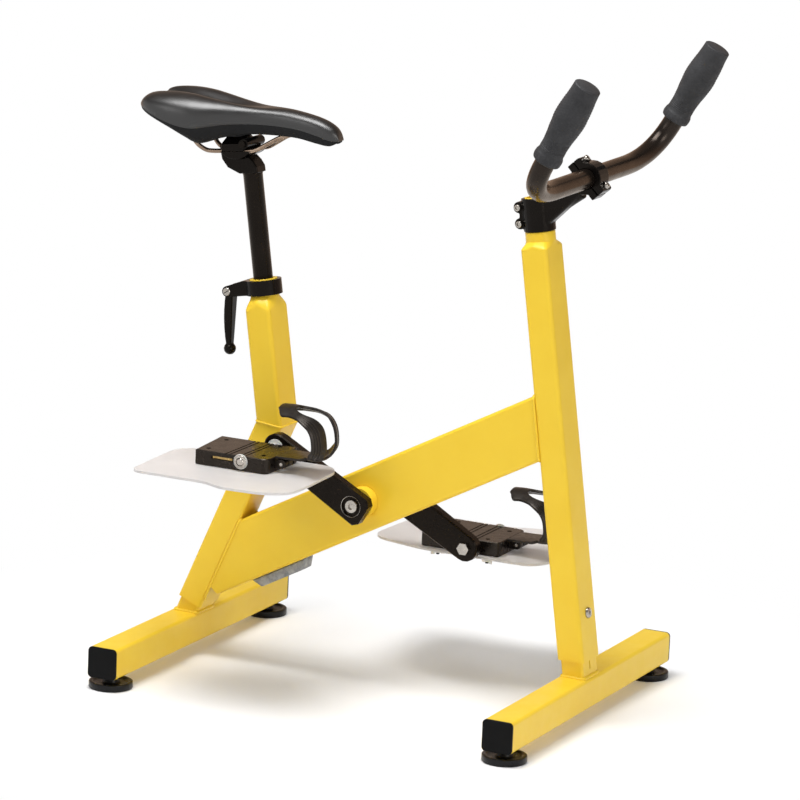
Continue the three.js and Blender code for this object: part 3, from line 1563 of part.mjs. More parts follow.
// A round skin along the handlebar's path, with rings only where the path bends.
function handlebarSkin(radius, sides, extra) {
  const rings = [];
  const along = new THREE.Vector3();
  const binormal = new THREE.Vector3(1, 0, 0);
  const stations = [];
  handlebarPath().curves.forEach((curve) => {
    const steps = curve.isQuadraticBezierCurve3 ? bendSteps : 1;
    for (let step = 0; step < steps; step++) {
      stations.push({ point: curve.getPoint(step / steps), heading: curve.getTangent(step / steps) });
    }
  });
  const last = handlebarPath().curves.at(-1);
  stations.push({ point: last.getPoint(1), heading: last.getTangent(1) });
  stations[0].point.addScaledVector(stations[0].heading, -extra);
  stations.at(-1).point.addScaledVector(stations.at(-1).heading, extra);
  stations.forEach(({ point, heading }) => {
    along.copy(heading);
    const first = binormal.clone().addScaledVector(along, -binormal.dot(along)).normalize();
    const second = along.clone().cross(first);
    const ring = Array.from({ length: sides }, (_, side) => {
      const angle = (2 * Math.PI * side) / sides;
      const spoke = first.clone().multiplyScalar(Math.cos(angle)).addScaledVector(second, Math.sin(angle));
      return point.clone().addScaledVector(spoke, radius);
    });
    rings.push(ring);
  });
  return loft(rings);
}

function handlebar() {
  const outer = handlebarSkin(handlebarRadius, barSides, 0);
  return cut(outer, handlebarSkin(handlebarRadius - handlebarWall, barSides / 2, overrun));
}

// Columns: share of the grip's length, share of its end radius.
const gripShares = [
  [0.0, 0.95],
  [0.02, 1.0],
  [0.09, 1.0],
  [0.12, 0.93],
  [0.25, 0.91],
  [0.42, 1.05],
  [0.58, 1.14],
  [0.74, 1.08],
  [0.9, 0.98],
  [1.0, 0.95],
];

function grip() {
  const profile = gripShares.map(([way, wide]) => [wide * gripRadius, way * gripLength]);
  const sleeve = turned([[0, 0], ...profile, [0, gripLength]]);
  return cut(sleeve, hole(handlebarRadius, gripLength - gripEndWall + overrun, { z: -overrun }));
}

function gripMesh(name, hand) {
  const heading = gripHeading(hand);
  const made = mesh(name, grip(), rubber);
  made.position.set(0, hand * handlebarCorner, 0).addScaledVector(heading, gripSetback);
  made.quaternion.setFromUnitVectors(new THREE.Vector3(0, 0, 1), heading);
  return made;
}

function steering() {
  const stemHeight = along(postSquareTop) + postSwageRise + postCollarRise + seatGap + stemClampHeight / 2;
  const pinchBolts = ["upper", "lower"].map((name, index) => {
    const z = (index === 0 ? 1 : -1) * (pinchBoltPitch / 2);
    const at = { x: -pinchBoltSetback, y: -pinchLobeWidth / 2 - seatGap, z, turnX: 90 };
    return mesh(name + "_pinch_bolt", socketBolt(pinchLobeWidth), steel, at);
  });
  const names = ["upper", "lower"];
  const faceBolts = faceBoltPlaces().map((place, index) =>
    mesh(names[index] + "_faceplate_bolt", socketBolt(faceBoltDepth), steel, {
      ...place,
      x: faceEar + seatGap,
      turnY: 90,
    }),
  );
  const bar = group(
    { turnY: stemRise },
    mesh("handlebar", handlebar(), blackMetal),
    gripMesh("left_grip", 1),
    gripMesh("right_grip", -1),
  );
  const armEnd = group({ x: stemArmLength }, mesh("stem_faceplate", faceplate(), blackMetal), ...faceBolts, bar);
  return group(
    postPlace,
    group(
      { z: stemHeight },
      mesh("stem_body", stemBody(), blackMetal),
      ...pinchBolts,
      group({ z: -stemArmDrop, turnY: -armTilt }, armEnd),
    ),
  );
}

// The whole bike

const bike = group(
  {},
  base("front", 0, frontBarSpan),
  base("rear", -barSpacing, rearBarSpan),
  ...frameParts(),
  crankSet(),
  ...seating(),
  steering(),
);

bike.updateMatrixWorld(true);
const extent = new THREE.Box3().setFromObject(bike, true);
const middle = extent.getCenter(new THREE.Vector3());
bike.position.set(-middle.x, -middle.y, -extent.min.z);

export default bike;
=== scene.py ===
import json
import math
import bmesh
import bpy
from mathutils import Matrix, Vector

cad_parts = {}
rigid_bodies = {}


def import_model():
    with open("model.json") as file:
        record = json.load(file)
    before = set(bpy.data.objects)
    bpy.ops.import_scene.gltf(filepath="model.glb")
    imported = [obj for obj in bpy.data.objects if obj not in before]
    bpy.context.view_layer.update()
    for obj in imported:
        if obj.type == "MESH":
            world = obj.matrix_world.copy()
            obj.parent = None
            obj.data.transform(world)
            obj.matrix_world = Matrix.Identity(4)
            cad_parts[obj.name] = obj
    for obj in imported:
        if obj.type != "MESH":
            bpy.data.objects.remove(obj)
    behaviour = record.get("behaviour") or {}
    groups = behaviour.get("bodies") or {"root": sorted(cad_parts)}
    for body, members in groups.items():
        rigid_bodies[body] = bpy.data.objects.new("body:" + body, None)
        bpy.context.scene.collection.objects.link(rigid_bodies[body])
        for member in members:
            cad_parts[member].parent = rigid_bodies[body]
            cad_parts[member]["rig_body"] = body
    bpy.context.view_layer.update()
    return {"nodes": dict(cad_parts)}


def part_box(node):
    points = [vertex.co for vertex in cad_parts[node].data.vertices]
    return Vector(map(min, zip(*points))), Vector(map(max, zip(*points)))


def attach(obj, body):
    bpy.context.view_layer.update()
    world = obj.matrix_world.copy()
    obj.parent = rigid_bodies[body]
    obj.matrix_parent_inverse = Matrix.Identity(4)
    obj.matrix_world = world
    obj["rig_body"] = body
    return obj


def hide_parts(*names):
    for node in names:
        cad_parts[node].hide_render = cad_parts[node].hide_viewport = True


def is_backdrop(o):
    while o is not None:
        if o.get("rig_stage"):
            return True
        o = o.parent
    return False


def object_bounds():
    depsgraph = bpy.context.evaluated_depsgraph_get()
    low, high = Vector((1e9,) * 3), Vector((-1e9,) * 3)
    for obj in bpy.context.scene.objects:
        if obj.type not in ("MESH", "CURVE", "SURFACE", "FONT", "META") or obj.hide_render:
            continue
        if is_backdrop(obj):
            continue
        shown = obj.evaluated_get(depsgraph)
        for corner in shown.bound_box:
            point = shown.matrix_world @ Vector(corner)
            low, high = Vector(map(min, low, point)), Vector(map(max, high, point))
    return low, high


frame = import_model()


# Base bars: two square steel tubes, 48 mm a side, cut to length, with the frame's tubes welded on them.
# The whole frame is powder coated in one yellow, which lies smooth and a little glossy, with a faint
# orange peel.

def ink(red, green, blue):
    """A colour as it is seen on a screen, turned to the shader's scale."""
    def line(value):
        value /= 255
        return value / 12.92 if value <= 0.04045 else ((value + 0.055) / 1.055) ** 2.4
    return tuple(line(value) for value in (red, green, blue))


def ramped(tree, source, seen, wanted, kind="LINEAR"):
    """A value that runs from one level to another as its source does."""
    ramp = tree.nodes.new("ShaderNodeMapRange")
    ramp.interpolation_type = kind
    for socket, value in zip(ramp.inputs[1:5], (*seen, *wanted)):
        socket.default_value = value
    tree.links.new(source, ramp.inputs[0])
    return ramp.outputs[0]


def blended(tree, pale, deep, share):
    """A colour between two, at a share of the way."""
    mix = tree.nodes.new("ShaderNodeMix")
    mix.data_type = "RGBA"
    mix.inputs[6].default_value = (*pale, 1)
    mix.inputs[7].default_value = (*deep, 1)
    tree.links.new(share, mix.inputs[0])
    return mix.outputs[2]


def reckoned(tree, operation, first, second):
    """One sum of two values in a node tree."""
    node = tree.nodes.new("ShaderNodeMath")
    node.operation = operation
    tree.links.new(first, node.inputs[0])
    tree.links.new(second, node.inputs[1])
    return node.outputs[0]


def finish(name, pale, deep, gloss, patch, grain=1500.0, depth=0.00001, scratches=0.0, **fixed):
    """Slow colour drift, uneven gloss between two values, a fine raised grain and hairline scratches."""
    made = bpy.data.materials.new(name)
    made.use_nodes = True
    tree = made.node_tree
    shader = tree.nodes["Principled BSDF"]
    for socket, value in fixed.items():
        shader.inputs[socket.replace("_", " ")].default_value = value
    place = tree.nodes.new("ShaderNodeTexCoord").outputs["Object"]
    middling, peaks = (0.3, 0.7), (0.66, 0.74)

    def speckle(scale, detail, vector=place):
        noise = tree.nodes.new("ShaderNodeTexNoise")
        noise.inputs["Scale"].default_value = scale
        noise.inputs["Detail"].default_value = detail
        tree.links.new(vector, noise.inputs["Vector"])
        return noise.outputs[0]

    drift = ramped(tree, speckle(patch, detail=5.0), middling, (0.0, 1.0))
    tree.links.new(blended(tree, ink(*pale), ink(*deep), drift), shader.inputs["Base Color"])
    rough = ramped(tree, speckle(patch * 4, detail=6.0), middling, gloss)
    if scratches > 0:
        stretch = tree.nodes.new("ShaderNodeMapping")
        stretch.inputs["Rotation"].default_value = (0.4, 0.2, 0.7)
        stretch.inputs["Scale"].default_value = (22, 460, 460)
        tree.links.new(place, stretch.inputs["Vector"])
        lines = speckle(1.0, detail=2.0, vector=stretch.outputs[0])
        rough = reckoned(tree, "ADD", rough, ramped(tree, lines, peaks, (0.0, scratches)))
    tree.links.new(rough, shader.inputs["Roughness"])
    relief = tree.nodes.new("ShaderNodeBump")
    relief.inputs["Strength"].default_value = 0.7
    relief.inputs["Distance"].default_value = depth
    tree.links.new(speckle(grain, detail=3.0), relief.inputs["Height"])
    tree.links.new(relief.outputs[0], shader.inputs["Normal"])
    return made


touching = 1e-6  # points nearer than this are one point


def shown(name, data):
    """A new object of the scene that shows some data."""
    made = bpy.data.objects.new(name, data)
    bpy.context.scene.collection.objects.link(made)
    return made


def meshed(shape, name):
    """The finished mesh of a bmesh."""
    mesh = bpy.data.meshes.new(name)
    shape.to_mesh(mesh)
    shape.free()
    return mesh


def fitted(shape, name, material, body, nodes=(), crease=38):
    """Turns a finished bmesh into a piece that rides on a body and stands for its CAD nodes."""
    mesh = meshed(shape, name)
    mesh.polygons.foreach_set("use_smooth", [True] * len(mesh.polygons))
    mesh.set_sharp_from_angle(angle=math.radians(crease))
    mesh.materials.append(material)
    made = shown(name, mesh)
    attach(made, body)
    if nodes:
        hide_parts(*nodes)
    return made


def copied(node):
    """The node's own solid with its facets joined into clean faces."""
    shape = bmesh.new()
    shape.from_mesh(frame["nodes"][node].data)
    bmesh.ops.remove_doubles(shape, verts=shape.verts, dist=touching)
    bmesh.ops.dissolve_limit(shape, angle_limit=math.radians(1), verts=shape.verts, edges=shape.edges)
    return shape


def eased(shape, reach, steps=2):
    """Breaks the sharp edges of a shape, as paint, a mould or a file does."""
    least = math.radians(40)
    sharp = [e for e in shape.edges if len(e.link_faces) == 2 and e.calc_face_angle(0) > least]
    bmesh.ops.bevel(shape, geom=sharp, offset=reach, offset_type="OFFSET", segments=steps, profile=0.5,
                    material=-1, affect="EDGES", clamp_overlap=True)
    return shape


def dressed(node, material, reach=0.0, crease=38):
    """A piece with the node's own form, its edges broken, on the node's own body."""
    shape = copied(node)
    if reach:
        eased(shape, reach)
    body = frame["nodes"][node]["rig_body"]
    made = fitted(shape, node + "_skin", material, body, [node], crease)
    made.modifiers.new("shading", "WEIGHTED_NORMAL").keep_sharp = True


yellow = finish(
    "yellow_powder_coat", (240, 204, 58), (235, 196, 50), gloss=(0.3, 0.42), patch=9.0, grain=620.0,
    depth=0.00003, scratches=0.04, Specular_IOR_Level=0.25, Coat_Weight=0.06, Coat_Roughness=0.15)
for bar in ("front_base_bar", "rear_base_bar"):
    dressed(bar, yellow, reach=0.0006)


# End caps: black polypropylene plugs pressed into the bars' ends. A square flange with soft edges covers
# the cut of the tube, and its face is very slightly hollow.

black_moulded = finish(
    "moulded_black", (12, 12, 12), (8, 8, 8), gloss=(0.3, 0.44), patch=30.0, grain=1300.0, depth=0.00004,
    scratches=0.12, Specular_IOR_Level=0.1)
both_sides = (("left", 1), ("right", -1))
corners = [f"{end}_{side}" for end in ("front", "rear") for side, _ in both_sides]
for corner in corners:
    dressed(corner + "_end_cap", black_moulded, reach=0.0007)


# Levelling feet: turned black plastic discs of 67 mm with a raised rim and a hub that holds a threaded
# stem. The stem screws up into the bar, so each foot can be turned down to find the floor.

def faced_out(shape):
    """Turns a shape's faces outwards."""
    bmesh.ops.recalc_face_normals(shape, faces=shape.faces)
    return shape


def placed(shape, place):
    """Moves a shape to its place, and turns its faces out again where that is mirrored."""
    bmesh.ops.transform(shape, matrix=place, verts=shape.verts)
    if place.determinant() < 0:
        bmesh.ops.reverse_faces(shape, faces=shape.faces)
    return shape


def turned(points, place=Matrix.Identity(4), steps=64):
    """A piece turned about its own Z axis, from points of radius and height."""
    shape = bmesh.new()
    rim = [shape.verts.new((radius, 0, height)) for radius, height in points]
    line = [shape.edges.new(pair) for pair in zip(rim, rim[1:])]
    bmesh.ops.spin(shape, geom=rim + line, cent=(0, 0, 0), axis=(0, 0, 1), angle=math.tau, steps=steps,
                   use_merge=True)
    bmesh.ops.remove_doubles(shape, verts=shape.verts, dist=touching)
    return placed(faced_out(shape), place)


foot_black = finish(
    "foot_black", (18, 18, 19), (12, 12, 13), gloss=(0.24, 0.4), patch=40.0, grain=700.0, depth=0.00005,
    scratches=0.1, Specular_IOR_Level=0.22)
foot_profile = [
    (0, 0), (0.0312, 0), (0.0327, 0.0004), (0.0335, 0.0016), (0.0335, 0.0088), (0.0331, 0.0101),
    (0.0318, 0.0108), (0.0284, 0.0108), (0.0275, 0.0104), (0.0262, 0.0089), (0.025, 0.0084),
    (0.0146, 0.0084), (0.0135, 0.0089), (0.0124, 0.0104), (0.012, 0.0136), (0.0112, 0.0146),
    (0.0096, 0.015), (0.0052, 0.015)]
thread_crest, thread_root, thread_low, half_pitch = 0.005, 0.0044, 0.0155, 0.0007
thread_turns, stem_top = 21, 0.0448
stem_thread = [(thread_crest if step % 2 else thread_root, thread_low + half_pitch * step)
               for step in range(2 * thread_turns)]
for foot in [corner + "_foot" for corner in corners]:
    low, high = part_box(foot)
    middle = Matrix.Translation(((low.x + high.x) / 2, (low.y + high.y) / 2, 0))
    shape = turned(foot_profile + stem_thread + [(0, stem_top)], middle)
    fitted(shape, foot + "_disc", foot_black, foot, [foot])


# Frame: two leaning posts, a rear leg, one deep beam between them and the stubs on the bars, all steel box
# tube of 3 mm wall. Both posts are swaged round at the top, and every joint has a ground weld bead.

for tube in ("main_beam", "rear_leg", "front_base_stub", "rear_base_stub", "bottom_bracket_shell"):
    dressed(tube, yellow, reach=0.0005, crease=30)


def spaced(points, pitch, closed):
    """The same line with its points a pitch apart."""
    ends = points[1:] + points[:1] if closed else points[1:]
    laid = []
    for start, end in zip(points, ends):
        count = max(1, round((end - start).length / pitch))
        laid += [start.lerp(end, step / count) for step in range(count)]
    return laid if closed else laid + [points[-1]]


def swept(points, radius, closed=False, swell=None, sides=5):
    """A round rod along points, with its radius swelling from point to point where that is asked for."""
    curve = bpy.data.curves.new("path", "CURVE")
    curve.dimensions = "3D"
    curve.bevel_depth = radius
    curve.bevel_resolution = sides
    curve.use_fill_caps = True
    line = curve.splines.new("POLY")
    line.points.add(len(points) - 1)
    for index, (knot, point) in enumerate(zip(line.points, points)):
        knot.co = (*point, 1)
        knot.radius = swell(index / (len(points) - 1)) if swell else 1
    line.use_cyclic_u = closed
    rod = shown("path", curve)
    mesh = bpy.data.meshes.new_from_object(rod.evaluated_get(bpy.context.evaluated_depsgraph_get()))
    bpy.data.objects.remove(rod)
    shape = bmesh.new()
    shape.from_mesh(mesh)
    bmesh.ops.remove_doubles(shape, verts=shape.verts, dist=touching)
    return faced_out(shape)


def box_line(half_x, half_y, radius, steps=6):
    """A rectangle with round corners in its own XY plane."""
    line = []
    for corner in range(4):
        middle = (corner + 0.5) * math.pi / 2
        centre_x = math.copysign(half_x - radius, math.cos(middle))
        centre_y = math.copysign(half_y - radius, math.sin(middle))
        for step in range(steps + 1):
            angle = (corner + step / steps) * math.pi / 2
            line.append(Vector((centre_x + radius * math.cos(angle), centre_y + radius * math.sin(angle), 0)))
    return line


def bridged(loops):
    """A skin over closed loops of points, each joined to the next."""
    shape = bmesh.new()
    rims = []
    for loop in loops:
        knots = [shape.verts.new(point) for point in loop]
        rims.append([shape.edges.new((knots[i - 1], knots[i])) for i in range(len(knots))])
    for low, high in zip(rims, rims[1:]):
        bmesh.ops.bridge_loops(shape, edges=low + high)
    return shape


def leaning(x, z, angle):
    """A frame of its own in the bike's middle plane, turned about Y."""
    return Matrix.Translation((x, 0, z)) @ Matrix.Rotation(angle, 4, "Y")


def along(height):
    """How far up a post's own axis a height above the floor lies."""
    return height / math.cos(lean)


up = Vector((0, 0, 1))
lean, leg_lean, beam_turn = (math.radians(angle) for angle in (8.65, 22.8, 61.6))
post_x, seat_x, joint_z, post_cut_z = 0.34404, -0.13116, 0.3843, 0.093
tube_x, tube_y, tube_round = 0.02125, 0.031, 0.0055
POST, SEAT = leaning(post_x, 0, -lean), leaning(seat_x, 0, -lean)
LEG = leaning(seat_x - joint_z * math.tan(lean), joint_z, leg_lean)
BRACKET = leaning(-0.02236, 0.2886, 0)
BEAM = BRACKET @ leaning(0, 0, beam_turn)


def tube_loop():
    """The posts' box outline, with its points close together."""
    return spaced(box_line(tube_x, tube_y, tube_round, 5), 0.0035, True)


def swaged(square_top, neck, collar):
    """Loops over the swaged top of a post. The flats run on as arches between the drawn-in corners."""
    steps, arch_share, corner_width, shoulder = 14, 0.5, 1.5, 1.7
    loops_up = []
    for step in range(steps + 1):
        way = step / steps
        loop = []
        for point in tube_loop():
            cornered = abs(math.sin(2 * math.atan2(point.y / tube_y, point.x / tube_x))) ** corner_width
            start = arch_share * (1 - cornered)
            turn = max(0.0, way - start) / (1 - start)
            turn = turn ** shoulder * (1.5 - 0.5 * turn)
            mixed = point.lerp(point.normalized() * collar, turn)
            loop.append(Vector((mixed.x, mixed.y, square_top + way * (neck - square_top))))
        loops_up.append(loop)
    return loops_up


def posted(name, node, bottom, square_top, swage_top, collar, rises, place):
    """The post's box tube, its swage and the turned neck over it."""
    loops = [[point + Vector((0, 0, bottom(point))) for point in tube_loop()]]
    loops += swaged(square_top, swage_top, collar)
    directions = [Vector((point.x, point.y, 0)).normalized() for point in loops[-1]]
    for height, radius in rises:
        loops.append([way * radius + Vector((0, 0, height)) for way in directions])
    shape = bridged(loops)
    bmesh.ops.holes_fill(shape, edges=[e for e in shape.edges if e.is_boundary], sides=0)
    faced_out(shape)
    if shape.calc_volume(signed=True) < 0:
        bmesh.ops.reverse_faces(shape, faces=shape.faces)
    made = fitted(placed(shape, place), name, yellow, "frame", [node], crease=32)
    made.modifiers.new("shading", "WEIGHTED_NORMAL").keep_sharp = True


post_neck = [
    (0.7381, 0.0225), (0.7391, 0.0218), (0.7391, 0.0192), (0.7401, 0.019), (0.7896, 0.019),
    (0.7901, 0.0185), (0.7901, 0.0161), (0.7601, 0.0161)]
seat_neck = [(0.6089, 0.0215), (0.6094, 0.021), (0.6094, 0.0156), (0.5794, 0.0156)]
mitre = math.tan((leg_lean + lean) / 2)
posted("front_post_tube", "front_post", lambda p: along(post_cut_z) - p.x * math.tan(lean), square_top=0.7141,
       swage_top=0.7251, collar=0.0225, rises=post_neck, place=POST)
posted("seat_tube_box", "seat_tube", lambda p: along(joint_z) - p.x * mitre, square_top=0.5629,
       swage_top=0.5844, collar=0.0215, rises=seat_neck, place=SEAT)


def weld(name, points, radius, closed=True):
    """A painted weld bead, with the ripple of its runs."""
    pitch, ripple, run = 0.0011, 0.14, 1.9
    laid = spaced(points, pitch, closed)
    swell = lambda way: 1 - ripple + ripple * abs(math.sin(way * len(laid) / run))
    fitted(swept(laid, radius, closed, swell, 3), name, yellow, "frame", (), crease=60)


def slice_of(place, outline, plane_at, plane_normal):
    """Where a tube's outline, run along its own axis, meets a plane."""
    axis = (place.to_3x3() @ up).normalized()
    met = []
    for point in outline:
        start = place @ point
        met.append(start + axis * ((plane_at - start).dot(plane_normal) / axis.dot(plane_normal)))
    return met


stub_line = box_line(0.018, 0.0278, 0.0045)
tube_line = box_line(tube_x, tube_y, tube_round)
beam_line = box_line(0.0465, tube_y, 0.006)
bar_top = Vector((0, 0, 0.0677))
sunk, across = tube_x + 0.0002, Vector((1, 0, 0))
weld("front_stub_weld", slice_of(POST, stub_line, bar_top, up), 0.0032)
weld("rear_stub_weld", slice_of(LEG, stub_line, bar_top, up), 0.0032)
joint_normal = Matrix.Rotation((leg_lean - lean) / 2, 3, "Y") @ up
weld("mitre_weld", slice_of(LEG, tube_line, LEG.translation, joint_normal), 0.0018)
weld("beam_front_weld", slice_of(BEAM, beam_line, POST @ (-sunk * across), POST.to_3x3() @ across), 0.0024)
beam_back = slice_of(BEAM, beam_line, LEG @ (sunk * across), LEG.to_3x3() @ across)
for ending, hand in (("", -1), ("_left", 1)):
    flank = [p for p in beam_back if (LEG.inverted() @ p).z < -0.012 and hand * p.y > 0.02]
    weld("beam_rear_weld" + ending, flank, 0.0022, closed=False)
shell_radius, shell_end, ring_points = 0.0238, 0.0283, 60
for side, hand in both_sides:
    ring = [BRACKET @ Vector((shell_radius * math.cos(a), hand * shell_end, shell_radius * math.sin(a)))
            for a in (math.tau * step / ring_points for step in range(ring_points))]
    weld(f"shell_weld_{side}", ring, 0.0022)


# Anode: a cast zinc bar under the beam. It corrodes in place of the frame, so its skin is pale, rough and
# mottled. A steel button screw holds the front post on its stub.

cast_zinc = finish(
    "cast_zinc", (176, 178, 180), (118, 121, 125), gloss=(0.45, 0.75), patch=70.0, grain=420.0,
    depth=0.0004, Metallic=0.55)
dressed("anode_block", cast_zinc, reach=0.002)
bright_steel = finish(
    "bright_steel", (196, 190, 182), (166, 160, 152), gloss=(0.16, 0.3), patch=60.0, grain=2500.0,
    depth=0.000008, scratches=0.1, Metallic=1.0)


def socket_head(place, radius, height, key, dip, shank, foot, dome=0.0):
    """A screw head with a six-sided key hole, drawn upwards from its seat, and its shank below."""
    count, lip, tip = 24, 0.0004, 0.0004
    per_side = count // 6

    def at(size, share, level):
        return Vector((size * math.cos(math.tau * share), size * math.sin(math.tau * share), level))

    def ring(size, level):
        return [at(size, i / count, level) for i in range(count)]

    def six(size, level):
        corners = [at(size, i / 6, level) for i in range(6)]
        return [corners[i // per_side].lerp(corners[(i // per_side + 1) % 6], i % per_side / per_side)
                for i in range(count)]

    loops = [ring(tip, foot), ring(shank, foot), ring(shank, 0), ring(radius, 0),
             ring(radius, height - dome - lip), ring(radius - lip - dome * 0.4, height - dome * 0.3),
             six(key * 1.12, height), six(key, height - lip), six(key, height - dip),
             six(key * 0.1, height - dip - lip)]
    shape = bridged(loops)
    bmesh.ops.holes_fill(shape, edges=shape.edges, sides=count)
    return placed(faced_out(shape), place)


screw_z, quarter = 0.1605, math.pi / 2
post_screw = POST @ leaning(tube_x + 0.0003, along(screw_z), quarter)
shape = socket_head(post_screw, radius=0.0084, height=0.0044, key=0.0028, dip=0.002, shank=0.0039,
                    foot=-0.011, dome=0.0022)
fitted(shape, "post_button_screw", bright_steel, "frame", ["front_post_bolt"])


# Cranks: solid black anodised bars keyed on the square ends of a steel spindle. The outer face has a
# turned recess, bright at its lip, round the domed retaining screw.

# The black is the metal's own. Its faint brown and the warm Specular_Tint are a painted warm reflection: the
# brown sheen of warm surroundings.
black_anodised = finish(
    "black_anodised", (24, 20, 17), (16, 13, 11), gloss=(0.2, 0.32), patch=24.0, scratches=0.14,
    Metallic=0.35, Specular_IOR_Level=0.18, Specular_Tint=(1.0, 0.84, 0.7, 1.0))
crank_drop, crank_length, screw_seat = math.radians(29.5), 0.1495, 0.0713
CRANK = BRACKET @ leaning(0, 0, crank_drop)
recess_ring = [
    (0.0156, 0.0716), (0.0166, 0.0716), (0.0166, 0.0752), (0.0163, 0.0757), (0.0158, 0.0754),
    (0.0156, 0.0716)]
for side, hand in both_sides:
    turn = Matrix.Rotation(0 if hand > 0 else math.pi, 4, "Z")
    outward = CRANK @ turn @ Matrix.Rotation(-quarter, 4, "X")
    dressed(f"{side}_crank", black_anodised, reach=0.0005)
    shape = socket_head(outward @ Matrix.Translation((0, 0, screw_seat)), radius=0.0105, height=0.0046,
                        key=0.0048, dip=0.0036, shank=0.0044, foot=-0.0015, dome=0.0016)
    fitted(shape, f"{side}_crank_screw", bright_steel, "crankset", [f"{side}_crank_bolt"])
    fitted(turned(recess_ring, outward), f"{side}_crank_ring", bright_steel, "crankset")
for part in ("crank_spindle", "left_bearing", "right_bearing", "left_pedal_axle", "right_pedal_axle"):
    dressed(part, bright_steel, reach=0.0003)


# Pedals: thick black moulded treads with four bolt holes and pairs of grooves across the top. A white
# bush runs right through each, with a bright washer on its outer end and a brass slug beside it.

# The black is the tread's own. Its faint brown and the warm Specular_Tint are a painted warm reflection: the
# golden sheen of the yellow frame and warm surroundings on the tops.
pedal_black = finish(
    "pedal_black", (18, 15, 13), (14, 11, 10), gloss=(0.24, 0.32), patch=18.0, grain=1100.0,
    depth=0.000012, scratches=0.08, Specular_Tint=(1.0, 0.84, 0.7, 1.0), Specular_IOR_Level=0.36)
white_moulded = finish(
    "white_moulded", (228, 224, 218), (214, 209, 203), gloss=(0.3, 0.45), patch=60.0,
    Subsurface_Weight=0.1)
brass = finish(
    "worn_brass", (196, 168, 110), (160, 132, 84), gloss=(0.25, 0.4), patch=80.0, scratches=0.1,
    Metallic=1.0)
over_middle = Matrix.Scale(-1, 4, Vector((0, 1, 0)))
PEDALS = {"left": Matrix.Translation(CRANK @ Vector((crank_length, 0, 0))),
          "right": Matrix.Translation(CRANK @ Vector((-crank_length, 0, 0))) @ over_middle}


def brick(low, high, reach):
    """A block between two corners, with its edges broken."""
    shape = bmesh.new()
    bmesh.ops.create_cube(shape, size=1)
    middle, size = (Vector(low) + Vector(high)) / 2, Vector(high) - Vector(low)
    bmesh.ops.scale(shape, vec=size, verts=shape.verts)
    bmesh.ops.translate(shape, vec=middle, verts=shape.verts)
    return eased(shape, reach)


washer_ring = [
    (0.0066, 0.1905), (0.0098, 0.1905), (0.0101, 0.1908), (0.0101, 0.1917), (0.0098, 0.192),
    (0.0066, 0.192), (0.0066, 0.1905)]
slug_low, slug_high = (-0.0485, 0.1836, -0.0019), (-0.0155, 0.1868, 0.0019)
for side, place in PEDALS.items():
    dressed(f"{side}_pedal_body", pedal_black, reach=0.0004)
    dressed(f"{side}_pedal_bush", white_moulded, reach=0.0003)
    dressed(f"{side}_toe_cage_pin", bright_steel, reach=0.0003)
    washer = turned(washer_ring, Matrix.Rotation(-quarter, 4, "X"))
    fitted(placed(washer, place), f"{side}_pedal_washer", bright_steel, "crankset")
    slug = brick(slug_low, slug_high, reach=0.0003)
    fitted(placed(slug, place), f"{side}_pedal_insert", brass, side + "_pedal")


# Paddle plates: 4 mm sheets of milky polypropylene bolted under the pedals, to push against the water.
# Each is held by four screws with wing nuts below it.

milky_sheet = finish(
    "milky_sheet", (244, 241, 240), (238, 235, 234), gloss=(0.3, 0.4), patch=8.0, grain=500.0,
    Specular_IOR_Level=0.4, Transmission_Weight=0.45)
screw_places = [(-0.0671, 0.108), (-0.0636, 0.172), (0.0194, 0.101), (0.0264, 0.165)]
nut_profile = [
    (0.003, -0.0265), (0.0052, -0.0265), (0.006, -0.0255), (0.0068, -0.0205), (0.0068, -0.0191),
    (0.003, -0.0191), (0.003, -0.0265)]
wing_middle, wing_half, wing_thick, wing_low, wing_high = 0.008, 0.0032, 0.0018, -0.0292, -0.0222
head_seat, first_turn = 0.0015, 0.7
for side, place in PEDALS.items():
    body = side + "_pedal"
    dressed(f"{side}_paddle_plate", milky_sheet, reach=0.0009)
    for number, (x, y) in enumerate(screw_places):
        at = Matrix.Translation((x, y, 0))
        screw = socket_head(at @ leaning(0, head_seat, 0), radius=0.0029, height=0.0016, key=0.0015,
                            dip=0.001, shank=0.0026, foot=-0.031)
        fitted(placed(screw, place), f"{side}_plate_screw_{number}", black_anodised, body)
        nut = turned(nut_profile, at, steps=24)
        fitted(placed(nut, place), f"{side}_wing_nut_{number}", white_moulded, body)
        for wing, hand in (("a", 1), ("b", -1)):
            middle = hand * wing_middle
            blade = brick((middle - wing_half, -wing_thick / 2, wing_low),
                          (middle + wing_half, wing_thick / 2, wing_high), reach=0.0007)
            turn = place @ at @ Matrix.Rotation(first_turn + number, 4, "Z")
            fitted(placed(blade, turn), f"{side}_wing_{number}{wing}", white_moulded, body)


# Toe cages: black glass-filled nylon loops hinged on a pin at the pedal's front. The sheet rises in
# front of the toes, opens in a long window and ends in a flat tongue, and the arms are ribbed outside.

# The black is the nylon's own. Its faint brown and the warm Specular_Tint are a painted warm reflection: the
# brown sheen of warm surroundings.
cage_black = finish(
    "cage_nylon", (30, 27, 26), (20, 19, 18), gloss=(0.3, 0.44), patch=40.0, depth=0.00003, scratches=0.1,
    Specular_IOR_Level=0.4, Specular_Tint=(1.0, 0.88, 0.78, 1.0))
cage_middle, cage_x, cage_z, cage_reach, cage_rise = 0.139, 0.02636, 0.008, 0.089, 0.072
cage_shares = [
    (0.76, 0.07), (0.9, 0.14), (0.985, 0.28), (0.985, 0.47), (0.945, 0.65), (0.85, 0.795), (0.69, 0.865),
    (0.5, 0.885), (0.34, 0.895), (0.18, 0.885)]
cage_line = [Vector((cage_x + forward * cage_reach, 0, cage_z + rise * cage_rise))
             for forward, rise in cage_shares]


def hermite(b, m, c, n, s):
    """A share of the way from b to c, leaving b at slope m and reaching c at slope n."""
    return ((2 * s**3 - 3 * s**2 + 1) * b + (s**3 - 2 * s**2 + s) * m
            + (3 * s**2 - 2 * s**3) * c + (s**3 - s**2) * n)


